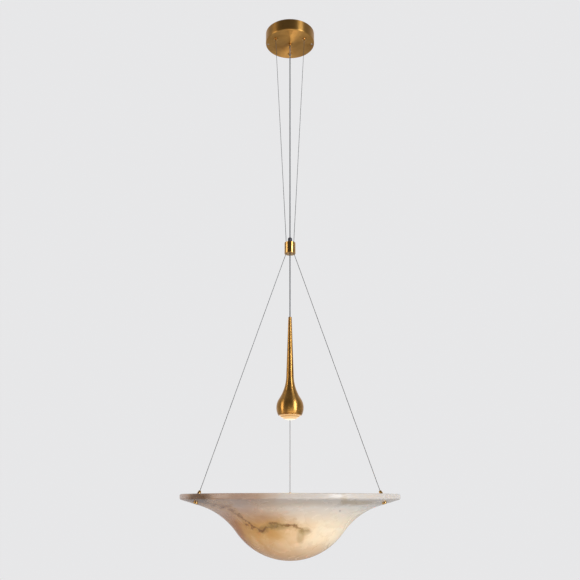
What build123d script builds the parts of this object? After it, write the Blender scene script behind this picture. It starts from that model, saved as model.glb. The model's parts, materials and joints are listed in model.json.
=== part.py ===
from build123d import *
import os
from math import acos, asin, atan, atan2, cos, degrees, hypot, pi, radians, sin, sqrt, tan

# Pendant light: a ceiling canopy, three steel cables gathered by a collar, a bowl shade with a wide
# flared rim, and a teardrop spot that hangs on the power cord and shines down into the bowl.
# Millimetres, +Z up. The origin is the middle of the ceiling face. The front of the light faces -Y.

os.makedirs("parts", exist_ok=True)

# Heights of the hanging pieces, from one to the next
canopy_height = 31.5
upper_drop = 582.5
collar_height = 30.0
lower_drop = 582.0
spot_drop = 164.0

# Canopy, a spun cup with its open side at the ceiling
canopy_radius = 66.5
canopy_wall = 1.2
canopy_edge_round = 2.0
cable_circle = 45.0

# Ceiling plate and what holds the canopy to it
plate_gap = 2.3
plate_thickness = 2.0
lead_hole_radius = 11.0
slot_spacing = 70.0
slot_length = 18.0
slot_radius = 2.5
fixing_circle = 60.0
standoff_radius = 3.0
fixing_screw_radius = 1.5
fixing_head_radius = 2.75
fixing_screw_length = 9.0
socket_flats = 2.0
thread_clearance = 0.05
hole_clearance = 0.1
face_gap = 0.1
part_gap = 0.3
edge_break = 0.5

# Driver, terminal block and earth screw, all hung under the ceiling plate
driver_size = (50.0, 34.0, 15.0)
driver_back = 36.0
driver_round = 3.0
ear_length = 7.0
ear_width = 9.0
ear_thickness = 2.5
terminal_size = (24.0, 16.0, 13.0)
terminal_centre = (-26.0, 24.0)
terminal_pitch = 7.5
terminal_rows = 2
terminal_columns = 3
terminal_round = 1.0
terminal_screw_radius = 1.8
terminal_screw_recess = 1.0
terminal_slot_width = 0.6
terminal_slot_depth = 0.8
earth_centre = (28.0, 26.0)
small_screw_radius = 1.5
small_head_radius = 2.8
small_head_height = 1.8
lead_radius = 1.0
lead_level = -9.0
lead_spread = 5.0
lead_straight = 10.0
lead_bend = 12.0
lead_entry = 7.0

# Steel cables and the power cord
cable_radius = 0.75
cord_radius = 1.5
bend_of_cable = 20.0
tail_bend = 6.0
tail_length = 22.0
tail_level = -9.0
tail_above_mouth = 1.0
cord_tail_bend = 8.0
cord_tail_level = -11.0

# Cable grippers, set through the canopy's floor
gripper_head_radius = 6.0
gripper_head_height = 1.5
gripper_thread_radius = 4.0
gripper_height = 15.0
gripper_roof = 1.5
gripper_cone_start = 4.0
gripper_cone_length = 6.0
gripper_chamber_radius = 3.2
gripper_nut_flats = 12.0
gripper_nut_height = 3.0
plunger_radius = 2.0
plunger_nose = 3.0
plunger_top = 7.5
plunger_shoulder_radius = 2.4
plunger_shoulder_height = 0.6
plunger_mouth_radius = 1.3
plunger_mouth_top = 3.0
running_clearance = 0.06
ball_clearance = 0.03
ball_window_clearance = 0.05
ball_radius = 0.8
ball_count = 3
spring_radius = 1.85
spring_wire = 0.35
spring_turns = 5
spring_seat_gap = 0.03

# Cord grip in the middle of the canopy
grip_head_radius = 4.3
grip_head_height = 2.5
grip_nose_radius = 3.2
grip_nose_height = 3.0
grip_thread_radius = 3.5
grip_height = 8.0
grip_nut_flats = 10.0
grip_nut_height = 2.5
cord_bore_clearance = 0.1

# The hanging set turns about this level, just under the canopy
sway_below_canopy = 2.75
swing_clearance = 0.1
flare_slope = 0.2

# Collar
collar_radius = 14.0
collar_circle = 11.0
collar_edge = 0.8
collar_bore_radius = 1.0
bore_mouth_radius = 2.0
grub_radius = 1.5
grub_recess = 0.2
grub_socket_flats = 1.5
grub_socket_depth = 1.0
spot_pivot_in_collar = 1.5

# Cord gland on the collar
gland_radius = 5.4
gland_thread_radius = 4.5
gland_thread_length = 7.8
gland_base_height = 4.0
gland_cap_height = 9.5
gland_spigot_radius = 3.6
gland_hole_spare = 0.2
gland_shoulder_height = 3.0
gland_shoulder_inset = 0.8
gland_crown_height = 1.2
gland_crown_inset = 2.2
gland_ribs = 12
gland_rib_radius = 0.55
gland_rib_out = 0.25

# Bowl shade, turned, with one wall thickness
shade_radius = 250.0
shade_depth = 143.0
shade_wall = 12.0
flange_angle = 16.5
flare_radius = 160.0
bowl_radius = 151.5
lip_land = 3.3
lip_top_round = 3.0
lip_bottom_round = 4.5
rim_circle = 225.0

# Fittings of the shade's rim, in line with each cable
rim_hole_radius = 2.8
spot_face_radius = 7.6
spot_face_depth = 0.6
top_washer_radius = 6.6
top_washer_height = 1.0
bush_flange_radius = 6.2
bush_flange_height = 1.4
bush_neck_radius = 4.6
bush_neck_height = 3.0
bush_tip_radius = 2.2
bush_tip_height = 1.0
bush_tip_inset = 0.7
bush_height = 13.5
bush_sleeve_radius = 2.5
bottom_washer_radius = 5.2
bottom_washer_height = 0.8
stop_radius = 4.9
stop_height = 4.2
stop_round = 1.6
stop_floor = 1.0
cable_bore_clearance = 0.15
swage_clearance = 0.02

# Teardrop spot, a turned outline from its tip down to its bezel
spot_length = 238.8
spot_tip_radius = 4.15
spot_bulge_radius = 32.4
spot_bulge_arc = 38.0
spot_foot_arc = 37.0
spot_bulge_height = 17.8
spot_flare_arc = 103.0
stem_taper = 1.9
tip_bush_height = 8.0
tip_spigot_radius = 2.9
tip_spigot_length = 8.0
tip_pivot_depth = 1.0
stem_bore_radius = 1.9
cavity_top_radius = 5.0
cavity_height = 60.8
cavity_shoulder = 31.8
cavity_radius = 25.0
bezel_height = 2.8
bezel_thread_length = 7.0
bezel_inner_radius = 27.0
bezel_thread_wall = 0.9
bezel_lip = 1.8
lens_opening_radius = 26.15
lens_radius = 26.9
lens_flange = 2.0
lens_dome_radius = 26.0
lens_dome_height = 12.0
lens_band = 0.5
lens_play = 0.1
gasket_height = 1.0
gasket_inner_radius = 24.8
reflector_wall = 1.0
reflector_neck_radius = 6.0
reflector_mouth_radius = 24.0
reflector_neck_height = 1.2
reflector_arc = 34.0
heat_sink_gap = 0.3
heat_sink_level = 46.8
heat_sink_height = 19.0
heat_sink_bore = 3.0
board_radius = 14.0
board_height = 1.6
chip_radius = 5.0
chip_height = 0.9
board_screw_circle = 10.5
board_screw_radius = 1.2
board_screw_head_radius = 2.2
board_screw_head_height = 1.3
board_screw_length = 6.0
cord_stop_radius = 3.6
cord_stop_height = 7.0
cord_stop_level = 59.3
led_lead_radius = 0.6
led_lead_spread = 2.6

# Levels worked out from the heights above
underside = -canopy_height
floor_top = underside + canopy_wall
sway_level = underside - sway_below_canopy
collar_top = underside - upper_drop
collar_bottom = collar_top - collar_height
rim_level = collar_bottom - lower_drop
spot_top = collar_bottom - spot_drop
spot_bottom = spot_top - spot_length
spot_pivot = collar_bottom + spot_pivot_in_collar
tip_pivot = spot_top - tip_pivot_depth

# Where the three cables stand, as angles about the light's axis
cable_angles = {"left": 210, "right": 330, "back": 90}


def polar(radius, angle):
    """the X and Y of a point on a circle about the light's axis"""
    return radius * cos(radians(angle)), radius * sin(radians(angle))


def outline(plane, *points):
    """a closed face through the points, drawn on a plane whose X is the radius and whose Y is the height"""
    with BuildSketch(plane) as face:
        with BuildLine():
            Polyline(*points, close=True)
        make_face()
    return face.sketch


def upright(x, y):
    """the XZ drawing plane moved to stand at a point"""
    return Plane(origin=(x, y, 0), x_dir=(1, 0, 0), z_dir=(0, -1, 0))


def upright_axis(x, y):
    """the vertical line through a point"""
    return Axis((x, y, 0), (0, 0, 1))


def level(height, x=0.0, y=0.0):
    """a level plane at a height"""
    return Plane(origin=(x, y, height), x_dir=(1, 0, 0), z_dir=(0, 0, 1))


def keep(builder, label):
    """names a finished piece and writes it"""
    builder.part.label = label
    export_step(builder.part, f"parts/{label}.step")


def run_length(builder):
    """the whole length of a line builder's edges"""
    return sum(edge.length for edge in builder.line.edges())


def hexagon_radius(flats):
    """the corner radius of a hexagon with this distance across its flats"""
    return flats / sqrt(3)


# Canopy and ceiling plate

canopy_inner = canopy_radius - canopy_wall
plate_radius = canopy_inner - plate_gap
plate_bottom = -plate_thickness
fixing_places = [(-fixing_circle, 0), (fixing_circle, 0)]

with BuildPart() as canopy:
    cup = outline(
        Plane.XZ,
        (0, underside),
        (canopy_radius, underside),
        (canopy_radius, 0),
        (canopy_inner, 0),
        (canopy_inner, floor_top),
        (0, floor_top),
    )
    revolve(cup, axis=Axis.Z)
    fillet(canopy.edges().filter_by(GeomType.CIRCLE).group_by(Axis.Z)[0], canopy_edge_round)
    with BuildSketch(level(underside)):
        for angle in cable_angles.values():
            with Locations(polar(cable_circle, angle)):
                Circle(gripper_thread_radius + hole_clearance)
        Circle(grip_thread_radius + hole_clearance)
    extrude(amount=canopy_wall, mode=Mode.SUBTRACT)
    for x, y in fixing_places:
        countersink = outline(
            upright(x, y),
            (0, underside),
            (fixing_head_radius + hole_clearance, underside),
            (fixing_head_radius + hole_clearance - canopy_wall, floor_top),
            (0, floor_top),
        )
        revolve(countersink, axis=upright_axis(x, y), mode=Mode.SUBTRACT)
keep(canopy, "canopy")

driver_x, driver_y, driver_z = driver_size
ear_centre = driver_x / 2 + ear_length / 2
driver_screw_places = [(-ear_centre, -driver_back), (ear_centre, -driver_back)]

with BuildPart() as ceiling_plate:
    with BuildSketch(level(plate_bottom)):
        Circle(plate_radius)
        Circle(lead_hole_radius, mode=Mode.SUBTRACT)
        with Locations((-slot_spacing / 2, 0), (slot_spacing / 2, 0)):
            SlotOverall(slot_length, 2 * slot_radius, mode=Mode.SUBTRACT)
        with Locations(*driver_screw_places, earth_centre):
            Circle(small_screw_radius + thread_clearance, mode=Mode.SUBTRACT)
    extrude(amount=plate_thickness)
keep(ceiling_plate, "ceiling_plate")

standoff_top = plate_bottom
with BuildPart() as canopy_standoffs:
    with BuildSketch(level(floor_top)):
        with Locations(*fixing_places):
            Circle(standoff_radius)
    extrude(amount=standoff_top - floor_top)
    with BuildSketch(level(floor_top)):
        with Locations(*fixing_places):
            Circle(fixing_screw_radius + thread_clearance)
    extrude(amount=fixing_screw_length, mode=Mode.SUBTRACT)
keep(canopy_standoffs, "canopy_standoffs")

with BuildPart() as canopy_screws:
    for x, y in fixing_places:
        screw = outline(
            upright(x, y),
            (0, underside),
            (fixing_head_radius, underside),
            (fixing_head_radius - canopy_wall, floor_top),
            (fixing_screw_radius, floor_top),
            (fixing_screw_radius, underside + fixing_screw_length),
            (0, underside + fixing_screw_length),
        )
        revolve(screw, axis=upright_axis(x, y))
    with BuildSketch(level(underside)):
        with Locations(*fixing_places):
            RegularPolygon(hexagon_radius(socket_flats), 6)
    extrude(amount=canopy_wall, mode=Mode.SUBTRACT)
keep(canopy_screws, "canopy_screws")

# Driver and terminals, hung under the ceiling plate

driver_bottom = plate_bottom - driver_z
with BuildPart() as led_driver:
    with BuildSketch(level(driver_bottom, 0, -driver_back)):
        RectangleRounded(driver_x, driver_y, driver_round)
    extrude(amount=driver_z)
    with BuildSketch(level(plate_bottom - ear_thickness, 0, -driver_back)):
        with Locations((-ear_centre, 0), (ear_centre, 0)):
            Rectangle(ear_length, ear_width)
    extrude(amount=ear_thickness)
    with BuildSketch(level(plate_bottom - ear_thickness)):
        with Locations(*driver_screw_places):
            Circle(small_screw_radius + hole_clearance)
    extrude(amount=ear_thickness, mode=Mode.SUBTRACT)
keep(led_driver, "led_driver")

with BuildPart() as driver_screws:
    with BuildSketch(level(plate_bottom - ear_thickness)):
        with Locations(*driver_screw_places):
            Circle(small_screw_radius)
    extrude(amount=ear_thickness + plate_thickness)
    with BuildSketch(level(plate_bottom - ear_thickness - small_head_height)):
        with Locations(*driver_screw_places):
            Circle(small_head_radius)
    extrude(amount=small_head_height)
keep(driver_screws, "driver_screws")

terminal_x, terminal_y, terminal_z = terminal_size
terminal_bottom = plate_bottom - terminal_z
terminal_front = terminal_centre[1] - terminal_y / 2
with BuildPart() as terminal_block:
    with BuildSketch(level(terminal_bottom, *terminal_centre)):
        RectangleRounded(terminal_x, terminal_y, terminal_round)
    extrude(amount=terminal_z)
    with BuildSketch(level(terminal_bottom, *terminal_centre)):
        with GridLocations(terminal_pitch, terminal_y / terminal_rows, terminal_columns, terminal_rows):
            Circle(terminal_screw_radius + hole_clearance)
    extrude(amount=terminal_z / 2, mode=Mode.SUBTRACT)
keep(terminal_block, "terminal_block")

terminal_screw_bottom = terminal_bottom + terminal_screw_recess
terminal_slot_top = terminal_screw_bottom + terminal_slot_depth
with BuildPart() as terminal_screws:
    with BuildSketch(level(terminal_screw_bottom, *terminal_centre)):
        with GridLocations(terminal_pitch, terminal_y / terminal_rows, terminal_columns, terminal_rows):
            Circle(terminal_screw_radius)
            Rectangle(2 * terminal_screw_radius, terminal_slot_width, mode=Mode.SUBTRACT)
    extrude(amount=terminal_slot_depth)
    with BuildSketch(level(terminal_slot_top, *terminal_centre)):
        with GridLocations(terminal_pitch, terminal_y / terminal_rows, terminal_columns, terminal_rows):
            Circle(terminal_screw_radius)
    extrude(amount=terminal_bottom + terminal_z / 2 - terminal_slot_top)
keep(terminal_screws, "terminal_screws")

with BuildPart() as earth_screw:
    with BuildSketch(level(plate_bottom - small_head_height, *earth_centre)):
        Circle(small_head_radius)
    extrude(amount=small_head_height)
    with BuildSketch(level(plate_bottom, *earth_centre)):
        Circle(small_screw_radius)
    extrude(amount=plate_thickness)
keep(earth_screw, "earth_screw")

driver_front = -driver_back + driver_y / 2
with BuildPart() as supply_leads:
    for shift in (-lead_spread / 2, lead_spread / 2):
        start_x = terminal_centre[0] + shift
        end_x = lead_entry - driver_x / 2 + shift
        with BuildLine() as lead_line:
            FilletPolyline(
                (start_x, terminal_front, lead_level),
                (start_x, terminal_front - lead_straight, lead_level),
                (end_x, driver_front + lead_straight, lead_level),
                (end_x, driver_front, lead_level),
                radius=lead_bend,
            )
        with BuildSketch(Plane(origin=(start_x, terminal_front, lead_level), z_dir=(0, -1, 0))):
            Circle(lead_radius)
        sweep(path=lead_line.line)
keep(supply_leads, "supply_leads")

# Cable grippers

cone_bottom = underside + gripper_cone_start
cone_top = cone_bottom + gripper_cone_length
plunger_hole_radius = plunger_radius + running_clearance
roof_bottom = underside + gripper_height - gripper_roof
nose_tip = underside - gripper_head_height - plunger_nose
cage_top = underside + plunger_top
cable_bore_radius = cable_radius + cable_bore_clearance
ball_circle = cable_radius + ball_radius + ball_clearance
cone_slope = (gripper_chamber_radius - plunger_hole_radius) / gripper_cone_length
cone_angle = atan(cone_slope)
ball_cone_radius = ball_circle + (ball_radius + ball_clearance) / cos(cone_angle)
ball_level = cone_bottom + (ball_cone_radius - plunger_hole_radius) / cone_slope
spring_bottom = cage_top + spring_wire / 2 + spring_seat_gap
spring_top = roof_bottom - spring_wire / 2 - spring_seat_gap


def spring_edges(x, y):
    """the spring's centre line, a helix of biarcs, two arcs to each quarter turn"""
    pitch = (spring_top - spring_bottom) / spring_turns
    climb = pitch / (2 * pi)
    slope = hypot(spring_radius, climb)
    steps = 4 * spring_turns

    def place(turn):
        return Vector(
            x + spring_radius * cos(turn),
            y + spring_radius * sin(turn),
            spring_bottom + climb * turn,
        )

    def heading(turn):
        return Vector(
            -spring_radius * sin(turn) / slope,
            spring_radius * cos(turn) / slope,
            climb / slope,
        )

    for step in range(steps):
        start = place(step * pi / 2)
        end = place((step + 1) * pi / 2)
        leaving = heading(step * pi / 2)
        arriving = heading((step + 1) * pi / 2)
        chord = end - start
        both = leaving + arriving
        spread = 2 * (1 - leaving.dot(arriving))
        reach = (sqrt(chord.dot(both) ** 2 + spread * chord.dot(chord)) - chord.dot(both)) / spread
        first_corner = start + leaving * reach
        second_corner = end - arriving * reach
        middle = (first_corner + second_corner) * 0.5
        TangentArc(start, middle, tangent=leaving)
        TangentArc(middle, end, tangent=second_corner - first_corner)


for side, angle in cable_angles.items():
    x, y = polar(cable_circle, angle)
    centre_line = upright_axis(x, y)

    with BuildPart() as gripper_body:
        shell = outline(
            upright(x, y),
            (plunger_hole_radius, underside - gripper_head_height),
            (gripper_head_radius - edge_break, underside - gripper_head_height),
            (gripper_head_radius, underside - gripper_head_height + edge_break),
            (gripper_head_radius, underside),
            (gripper_thread_radius, underside),
            (gripper_thread_radius, underside + gripper_height),
            (cable_bore_radius, underside + gripper_height),
            (cable_bore_radius, roof_bottom),
            (gripper_chamber_radius, roof_bottom),
            (gripper_chamber_radius, cone_top),
            (plunger_hole_radius, cone_bottom),
        )
        revolve(shell, axis=centre_line)
    keep(gripper_body, f"gripper_body_{side}")

    with BuildPart() as gripper_plunger:
        sleeve = outline(
            upright(x, y),
            (plunger_mouth_radius, nose_tip),
            (plunger_radius - edge_break, nose_tip),
            (plunger_radius, nose_tip + edge_break),
            (plunger_radius, cage_top - plunger_shoulder_height),
            (plunger_shoulder_radius, cage_top - plunger_shoulder_height),
            (plunger_shoulder_radius, cage_top),
            (cable_bore_radius, cage_top),
            (cable_bore_radius, underside + plunger_mouth_top),
            (plunger_mouth_radius, underside + plunger_mouth_top),
        )
        revolve(sleeve, axis=centre_line)
        for number in range(ball_count):
            turn = angle + number * 360 / ball_count
            outwards = (cos(radians(turn)), sin(radians(turn)), 0)
            with BuildSketch(Plane(origin=(x, y, ball_level), z_dir=outwards)):
                Circle(ball_radius + ball_window_clearance)
            extrude(amount=2 * plunger_radius, mode=Mode.SUBTRACT)
    keep(gripper_plunger, f"gripper_plunger_{side}")

    with BuildPart() as gripper_balls:
        for number in range(ball_count):
            ball_x, ball_y = polar(ball_circle, angle + number * 360 / ball_count)
            with Locations((x + ball_x, y + ball_y, ball_level)):
                Sphere(ball_radius)
    keep(gripper_balls, f"gripper_balls_{side}")

    with BuildPart() as gripper_spring:
        with BuildLine() as coil:
            spring_edges(x, y)
        with BuildSketch(Plane(origin=coil.line @ 0, z_dir=coil.line % 0)):
            Circle(spring_wire / 2)
        sweep(path=coil.line)
    keep(gripper_spring, f"gripper_spring_{side}")

spring_gap = (spring_top - spring_bottom) / spring_turns - spring_wire
print(f"spring gap between turns {spring_gap:.2f} mm, volume {gripper_spring.part.volume:.2f}")

with BuildPart() as gripper_nuts:
    for angle in cable_angles.values():
        with BuildSketch(level(floor_top, *polar(cable_circle, angle))):
            RegularPolygon(hexagon_radius(gripper_nut_flats), 6)
            Circle(gripper_thread_radius + thread_clearance, mode=Mode.SUBTRACT)
        extrude(amount=gripper_nut_height)
keep(gripper_nuts, "gripper_nuts")

tail_start = underside + plunger_mouth_top + tail_above_mouth
with BuildPart() as cable_tails:
    for angle in cable_angles.values():
        x, y = polar(cable_circle, angle)
        along_x, along_y = polar(tail_length, angle + 90)
        with BuildLine() as tail_line:
            FilletPolyline(
                (x, y, tail_start),
                (x, y, tail_level),
                (x + along_x, y + along_y, tail_level),
                radius=tail_bend,
            )
        with BuildSketch(level(tail_start, x, y)):
            Circle(cable_radius)
        sweep(path=tail_line.line)
keep(cable_tails, "cable_tails")

# Cord grip in the canopy, with the cord's tail to the driver

cord_bore = cord_radius + cord_bore_clearance
grip_mouth = underside - grip_head_height - grip_nose_height
pivot_bore = cord_radius + swing_clearance
grip_mouth_radius = pivot_bore + flare_slope * (sway_level - grip_mouth)
with BuildPart() as cord_grip:
    bush = outline(
        Plane.XZ,
        (grip_mouth_radius, grip_mouth),
        (grip_nose_radius - edge_break, grip_mouth),
        (grip_nose_radius, grip_mouth + edge_break),
        (grip_nose_radius, underside - grip_head_height),
        (grip_head_radius - edge_break, underside - grip_head_height),
        (grip_head_radius, underside - grip_head_height + edge_break),
        (grip_head_radius, underside),
        (grip_thread_radius, underside),
        (grip_thread_radius, underside + grip_height),
        (cord_bore, underside + grip_height),
        (cord_bore, sway_level + cord_radius),
        (pivot_bore, sway_level),
    )
    revolve(bush, axis=Axis.Z)
keep(cord_grip, "cord_grip")

with BuildPart() as cord_grip_nut:
    with BuildSketch(level(floor_top)):
        RegularPolygon(hexagon_radius(grip_nut_flats), 6)
        Circle(grip_thread_radius + thread_clearance, mode=Mode.SUBTRACT)
    extrude(amount=grip_nut_height)
keep(cord_grip_nut, "cord_grip_nut")

cord_tail_start = sway_level + cord_radius + swing_clearance
with BuildPart() as cord_tail:
    with BuildLine() as cord_tail_line:
        FilletPolyline(
            (0, 0, cord_tail_start),
            (0, 0, cord_tail_level),
            (0, driver_front, cord_tail_level),
            radius=cord_tail_bend,
        )
    with BuildSketch(level(cord_tail_start)):
        Circle(cord_radius)
    sweep(path=cord_tail_line.line)
keep(cord_tail, "cord_tail")

# Collar, its grub screws and its cord gland

collar_middle = collar_bottom + collar_height / 2
bore_mouth_top = collar_bottom + 2 * (bore_mouth_radius - collar_bore_radius)
gland_hole_depth = gland_thread_length + gland_hole_spare
collar_mouth_radius = pivot_bore + swing_clearance + flare_slope * spot_pivot_in_collar
with BuildPart() as collar:
    with BuildSketch(level(collar_bottom)):
        Circle(collar_radius)
    extrude(amount=collar_height)
    chamfer(collar.edges().filter_by(GeomType.CIRCLE), collar_edge)
    cord_passage = outline(
        Plane.XZ,
        (0, collar_bottom),
        (collar_mouth_radius, collar_bottom),
        (pivot_bore, spot_pivot),
        (pivot_bore, collar_top - gland_hole_depth),
        (gland_thread_radius + thread_clearance, collar_top - gland_hole_depth),
        (gland_thread_radius + thread_clearance, collar_top),
        (0, collar_top),
    )
    revolve(cord_passage, axis=Axis.Z, mode=Mode.SUBTRACT)
    for angle in cable_angles.values():
        x, y = polar(collar_circle, angle)
        cable_passage = outline(
            upright(x, y),
            (0, collar_bottom),
            (bore_mouth_radius, collar_bottom),
            (collar_bore_radius, bore_mouth_top),
            (collar_bore_radius, collar_top - edge_break),
            (collar_bore_radius + edge_break, collar_top),
            (0, collar_top),
        )
        revolve(cable_passage, axis=upright_axis(x, y), mode=Mode.SUBTRACT)
        outwards = (cos(radians(angle)), sin(radians(angle)), 0)
        with BuildSketch(Plane(origin=(x, y, collar_middle), z_dir=outwards)):
            Circle(grub_radius + thread_clearance)
        extrude(amount=collar_radius, mode=Mode.SUBTRACT)
keep(collar, "collar")

grub_start = collar_circle + cable_radius + swage_clearance
grub_length = collar_radius - grub_recess - grub_start
with BuildPart() as collar_grub_screws:
    for angle in cable_angles.values():
        outwards = (cos(radians(angle)), sin(radians(angle)), 0)
        inner_end = Plane(origin=(*polar(grub_start, angle), collar_middle), z_dir=outwards)
        with BuildSketch(inner_end):
            Circle(grub_radius)
        extrude(amount=grub_length)
        with BuildSketch(inner_end.offset(grub_length - grub_socket_depth)):
            RegularPolygon(hexagon_radius(grub_socket_flats), 6)
        extrude(amount=grub_socket_depth, mode=Mode.SUBTRACT)
keep(collar_grub_screws, "collar_grub_screws")

gland_base_top = collar_top + gland_base_height
gland_spigot_top = gland_base_top + gland_cap_height / 2
with BuildPart() as collar_gland_base:
    base = outline(
        Plane.XZ,
        (cord_bore, collar_top - gland_thread_length),
        (gland_thread_radius, collar_top - gland_thread_length),
        (gland_thread_radius, collar_top),
        (gland_radius, collar_top),
        (gland_radius, gland_base_top),
        (gland_spigot_radius, gland_base_top),
        (gland_spigot_radius, gland_spigot_top),
        (cord_bore, gland_spigot_top),
    )
    revolve(base, axis=Axis.Z)
keep(collar_gland_base, "collar_gland_base")

gland_cap_top = gland_base_top + gland_cap_height
gland_shoulder = gland_cap_top - gland_shoulder_height
with BuildPart() as collar_gland_cap:
    dome = outline(
        Plane.XZ,
        (gland_spigot_radius + thread_clearance, gland_base_top + face_gap),
        (gland_radius, gland_base_top + face_gap),
        (gland_radius, gland_shoulder),
        (gland_radius - gland_shoulder_inset, gland_cap_top - gland_crown_height),
        (gland_radius - gland_crown_inset, gland_cap_top),
        (cord_bore, gland_cap_top),
        (cord_bore, gland_spigot_top + face_gap),
        (gland_spigot_radius + thread_clearance, gland_spigot_top + face_gap),
    )
    revolve(dome, axis=Axis.Z)
    with BuildSketch(level(gland_base_top)):
        with PolarLocations(gland_radius + gland_rib_out, gland_ribs):
            Circle(gland_rib_radius)
    extrude(amount=gland_shoulder - gland_base_top, mode=Mode.SUBTRACT)
keep(collar_gland_cap, "collar_gland_cap")

# Upper cables and cord

upper_cable_top = underside - gripper_head_height / 2
upper_slope = (cable_circle - collar_circle) / (sway_level - collar_top)
upper_top_circle = cable_circle + upper_slope * (upper_cable_top - sway_level)
upper_cable_end = bore_mouth_top + part_gap
for side, angle in cable_angles.items():
    with BuildPart() as upper_cable:
        with BuildLine() as cable_line:
            FilletPolyline(
                (*polar(upper_top_circle, angle), upper_cable_top),
                (*polar(collar_circle, angle), collar_top),
                (*polar(collar_circle, angle), upper_cable_end),
                radius=bend_of_cable,
            )
        with BuildSketch(Plane(origin=cable_line.line @ 0, z_dir=cable_line.line % 0)):
            Circle(cable_radius)
        sweep(path=cable_line.line)
    keep(upper_cable, f"upper_cable_{side}")
expected_volume = pi * cable_radius**2 * run_length(cable_line)
print(f"upper cable volume {upper_cable.part.volume:.1f}, section x length {expected_volume:.1f}")
print(f"upper cable bend radius {bend_of_cable}, length {run_length(cable_line):.1f} mm")

upper_cord_end = spot_pivot + cord_radius + swing_clearance
with BuildPart(level(sway_level)) as upper_cord:
    Sphere(cord_radius)
    Cylinder(cord_radius, sway_level - upper_cord_end, align=(Align.CENTER, Align.CENTER, Align.MAX))
keep(upper_cord, "upper_cord")
print(f"upper cord length {sway_level - upper_cord_end + cord_radius:.1f} mm")

# Shade, a bowl that turns out into a wide flange

slope = radians(flange_angle)
lip_height = shade_wall / cos(slope) - lip_land * tan(slope)
bowl_centre = -shade_depth + bowl_radius
arcs_apart = bowl_radius + flare_radius
meeting = bowl_centre * cos(slope) + flare_radius + shade_radius * sin(slope) + lip_height * cos(slope)
turn_over = slope + acos(meeting / arcs_apart)
flare_x = arcs_apart * sin(turn_over)
flare_z = bowl_centre - arcs_apart * cos(turn_over)


def shade_arcs(inset):
    """the bowl arc and the flare arc of the shade, set in from its outside by the inset"""
    turned = degrees(turn_over)
    bowl = CenterArc((0, bowl_centre), bowl_radius - inset, -90, turned)
    flare = CenterArc((flare_x, flare_z), flare_radius + inset, 90 + turned, degrees(slope) - turned)
    return bowl, flare


with BuildPart(level(rim_level)) as shade:
    with BuildSketch(Plane(origin=(0, 0, rim_level), x_dir=(1, 0, 0), z_dir=(0, -1, 0))):
        with BuildLine():
            outer_bowl, outer_flare = shade_arcs(0)
            inner_bowl, inner_flare = shade_arcs(shade_wall)
            Line(outer_bowl @ 0, inner_bowl @ 0)
            Line(outer_flare @ 1, (shade_radius, -lip_height))
            Line((shade_radius, -lip_height), (shade_radius, 0))
            Line((shade_radius, 0), (shade_radius - lip_land, 0))
            Line((shade_radius - lip_land, 0), inner_flare @ 1)
        make_face()
    revolve(axis=Axis.Z)
    lip_edges = shade.edges().filter_by(GeomType.CIRCLE).group_by(SortBy.RADIUS)[-1].sort_by(Axis.Z)
    fillet(lip_edges[-1], lip_top_round)
    lip_edges = shade.edges().filter_by(GeomType.CIRCLE).group_by(SortBy.RADIUS)[-1].sort_by(Axis.Z)
    fillet(lip_edges[0], lip_bottom_round)

    # Each cable's line, from the collar's circle down to the rim's circle
    lower_cable_top = collar_bottom + part_gap
    lean = atan2(rim_circle - collar_circle, lower_cable_top - rim_level)
    lean_slope = tan(lean)
    depth_share = 1 / (1 + lean_slope * tan(slope))
    top_depth = (shade_radius - lip_land - rim_circle) * tan(slope) * depth_share
    bottom_depth = (lip_height + (shade_radius - rim_circle) * tan(slope)) * depth_share
    seat_top = top_depth / cos(lean) + spot_face_depth
    seat_bottom = bottom_depth / cos(lean) - spot_face_depth

    def rim_plane(angle, along=0.0):
        """the plane square to a cable, this far along it below the level of the rim's top, facing up it"""
        radius = rim_circle + along * sin(lean)
        up = (-sin(lean) * cos(radians(angle)), -sin(lean) * sin(radians(angle)), cos(lean))
        across = (-sin(radians(angle)), cos(radians(angle)), 0)
        return Plane(origin=(*polar(radius, angle), rim_level - along * cos(lean)), x_dir=across, z_dir=up)

    for angle in cable_angles.values():
        with BuildSketch(rim_plane(angle, seat_bottom + shade_wall)):
            Circle(rim_hole_radius)
        extrude(amount=seat_bottom - seat_top + 2 * shade_wall, mode=Mode.SUBTRACT)
        with BuildSketch(rim_plane(angle, seat_top)):
            Circle(spot_face_radius)
        extrude(amount=shade_wall, mode=Mode.SUBTRACT)
        with BuildSketch(rim_plane(angle, seat_bottom + shade_wall)):
            Circle(spot_face_radius)
        extrude(amount=shade_wall, mode=Mode.SUBTRACT)
keep(shade, "shade")
print(f"flange thickness along the cable {seat_bottom - seat_top:.2f} mm")
print(f"bowl meets flare at {degrees(turn_over):.1f} deg")


def rim_outline(angle, *points):
    """a closed face of radius and distance up the cable from the level of the rim's top"""
    square = rim_plane(angle)
    drawing = Plane(origin=square.origin, x_dir=square.x_dir, z_dir=square.x_dir.cross(square.z_dir))
    return outline(drawing, *points), Axis(square.origin, square.z_dir)


washer_top = -seat_top + top_washer_height
flange_top = washer_top + bush_flange_height
bush_top = -seat_top + bush_height
sleeve_end = -seat_bottom + part_gap
stop_seat = -seat_bottom - bottom_washer_height
stop_bottom = stop_seat - stop_height

with BuildPart() as rim_top_washers:
    for angle in cable_angles.values():
        face, line = rim_outline(
            angle,
            (bush_sleeve_radius + hole_clearance, -seat_top),
            (top_washer_radius, -seat_top),
            (top_washer_radius, washer_top),
            (bush_sleeve_radius + hole_clearance, washer_top),
        )
        revolve(face, axis=line)
keep(rim_top_washers, "rim_top_washers")

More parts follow.
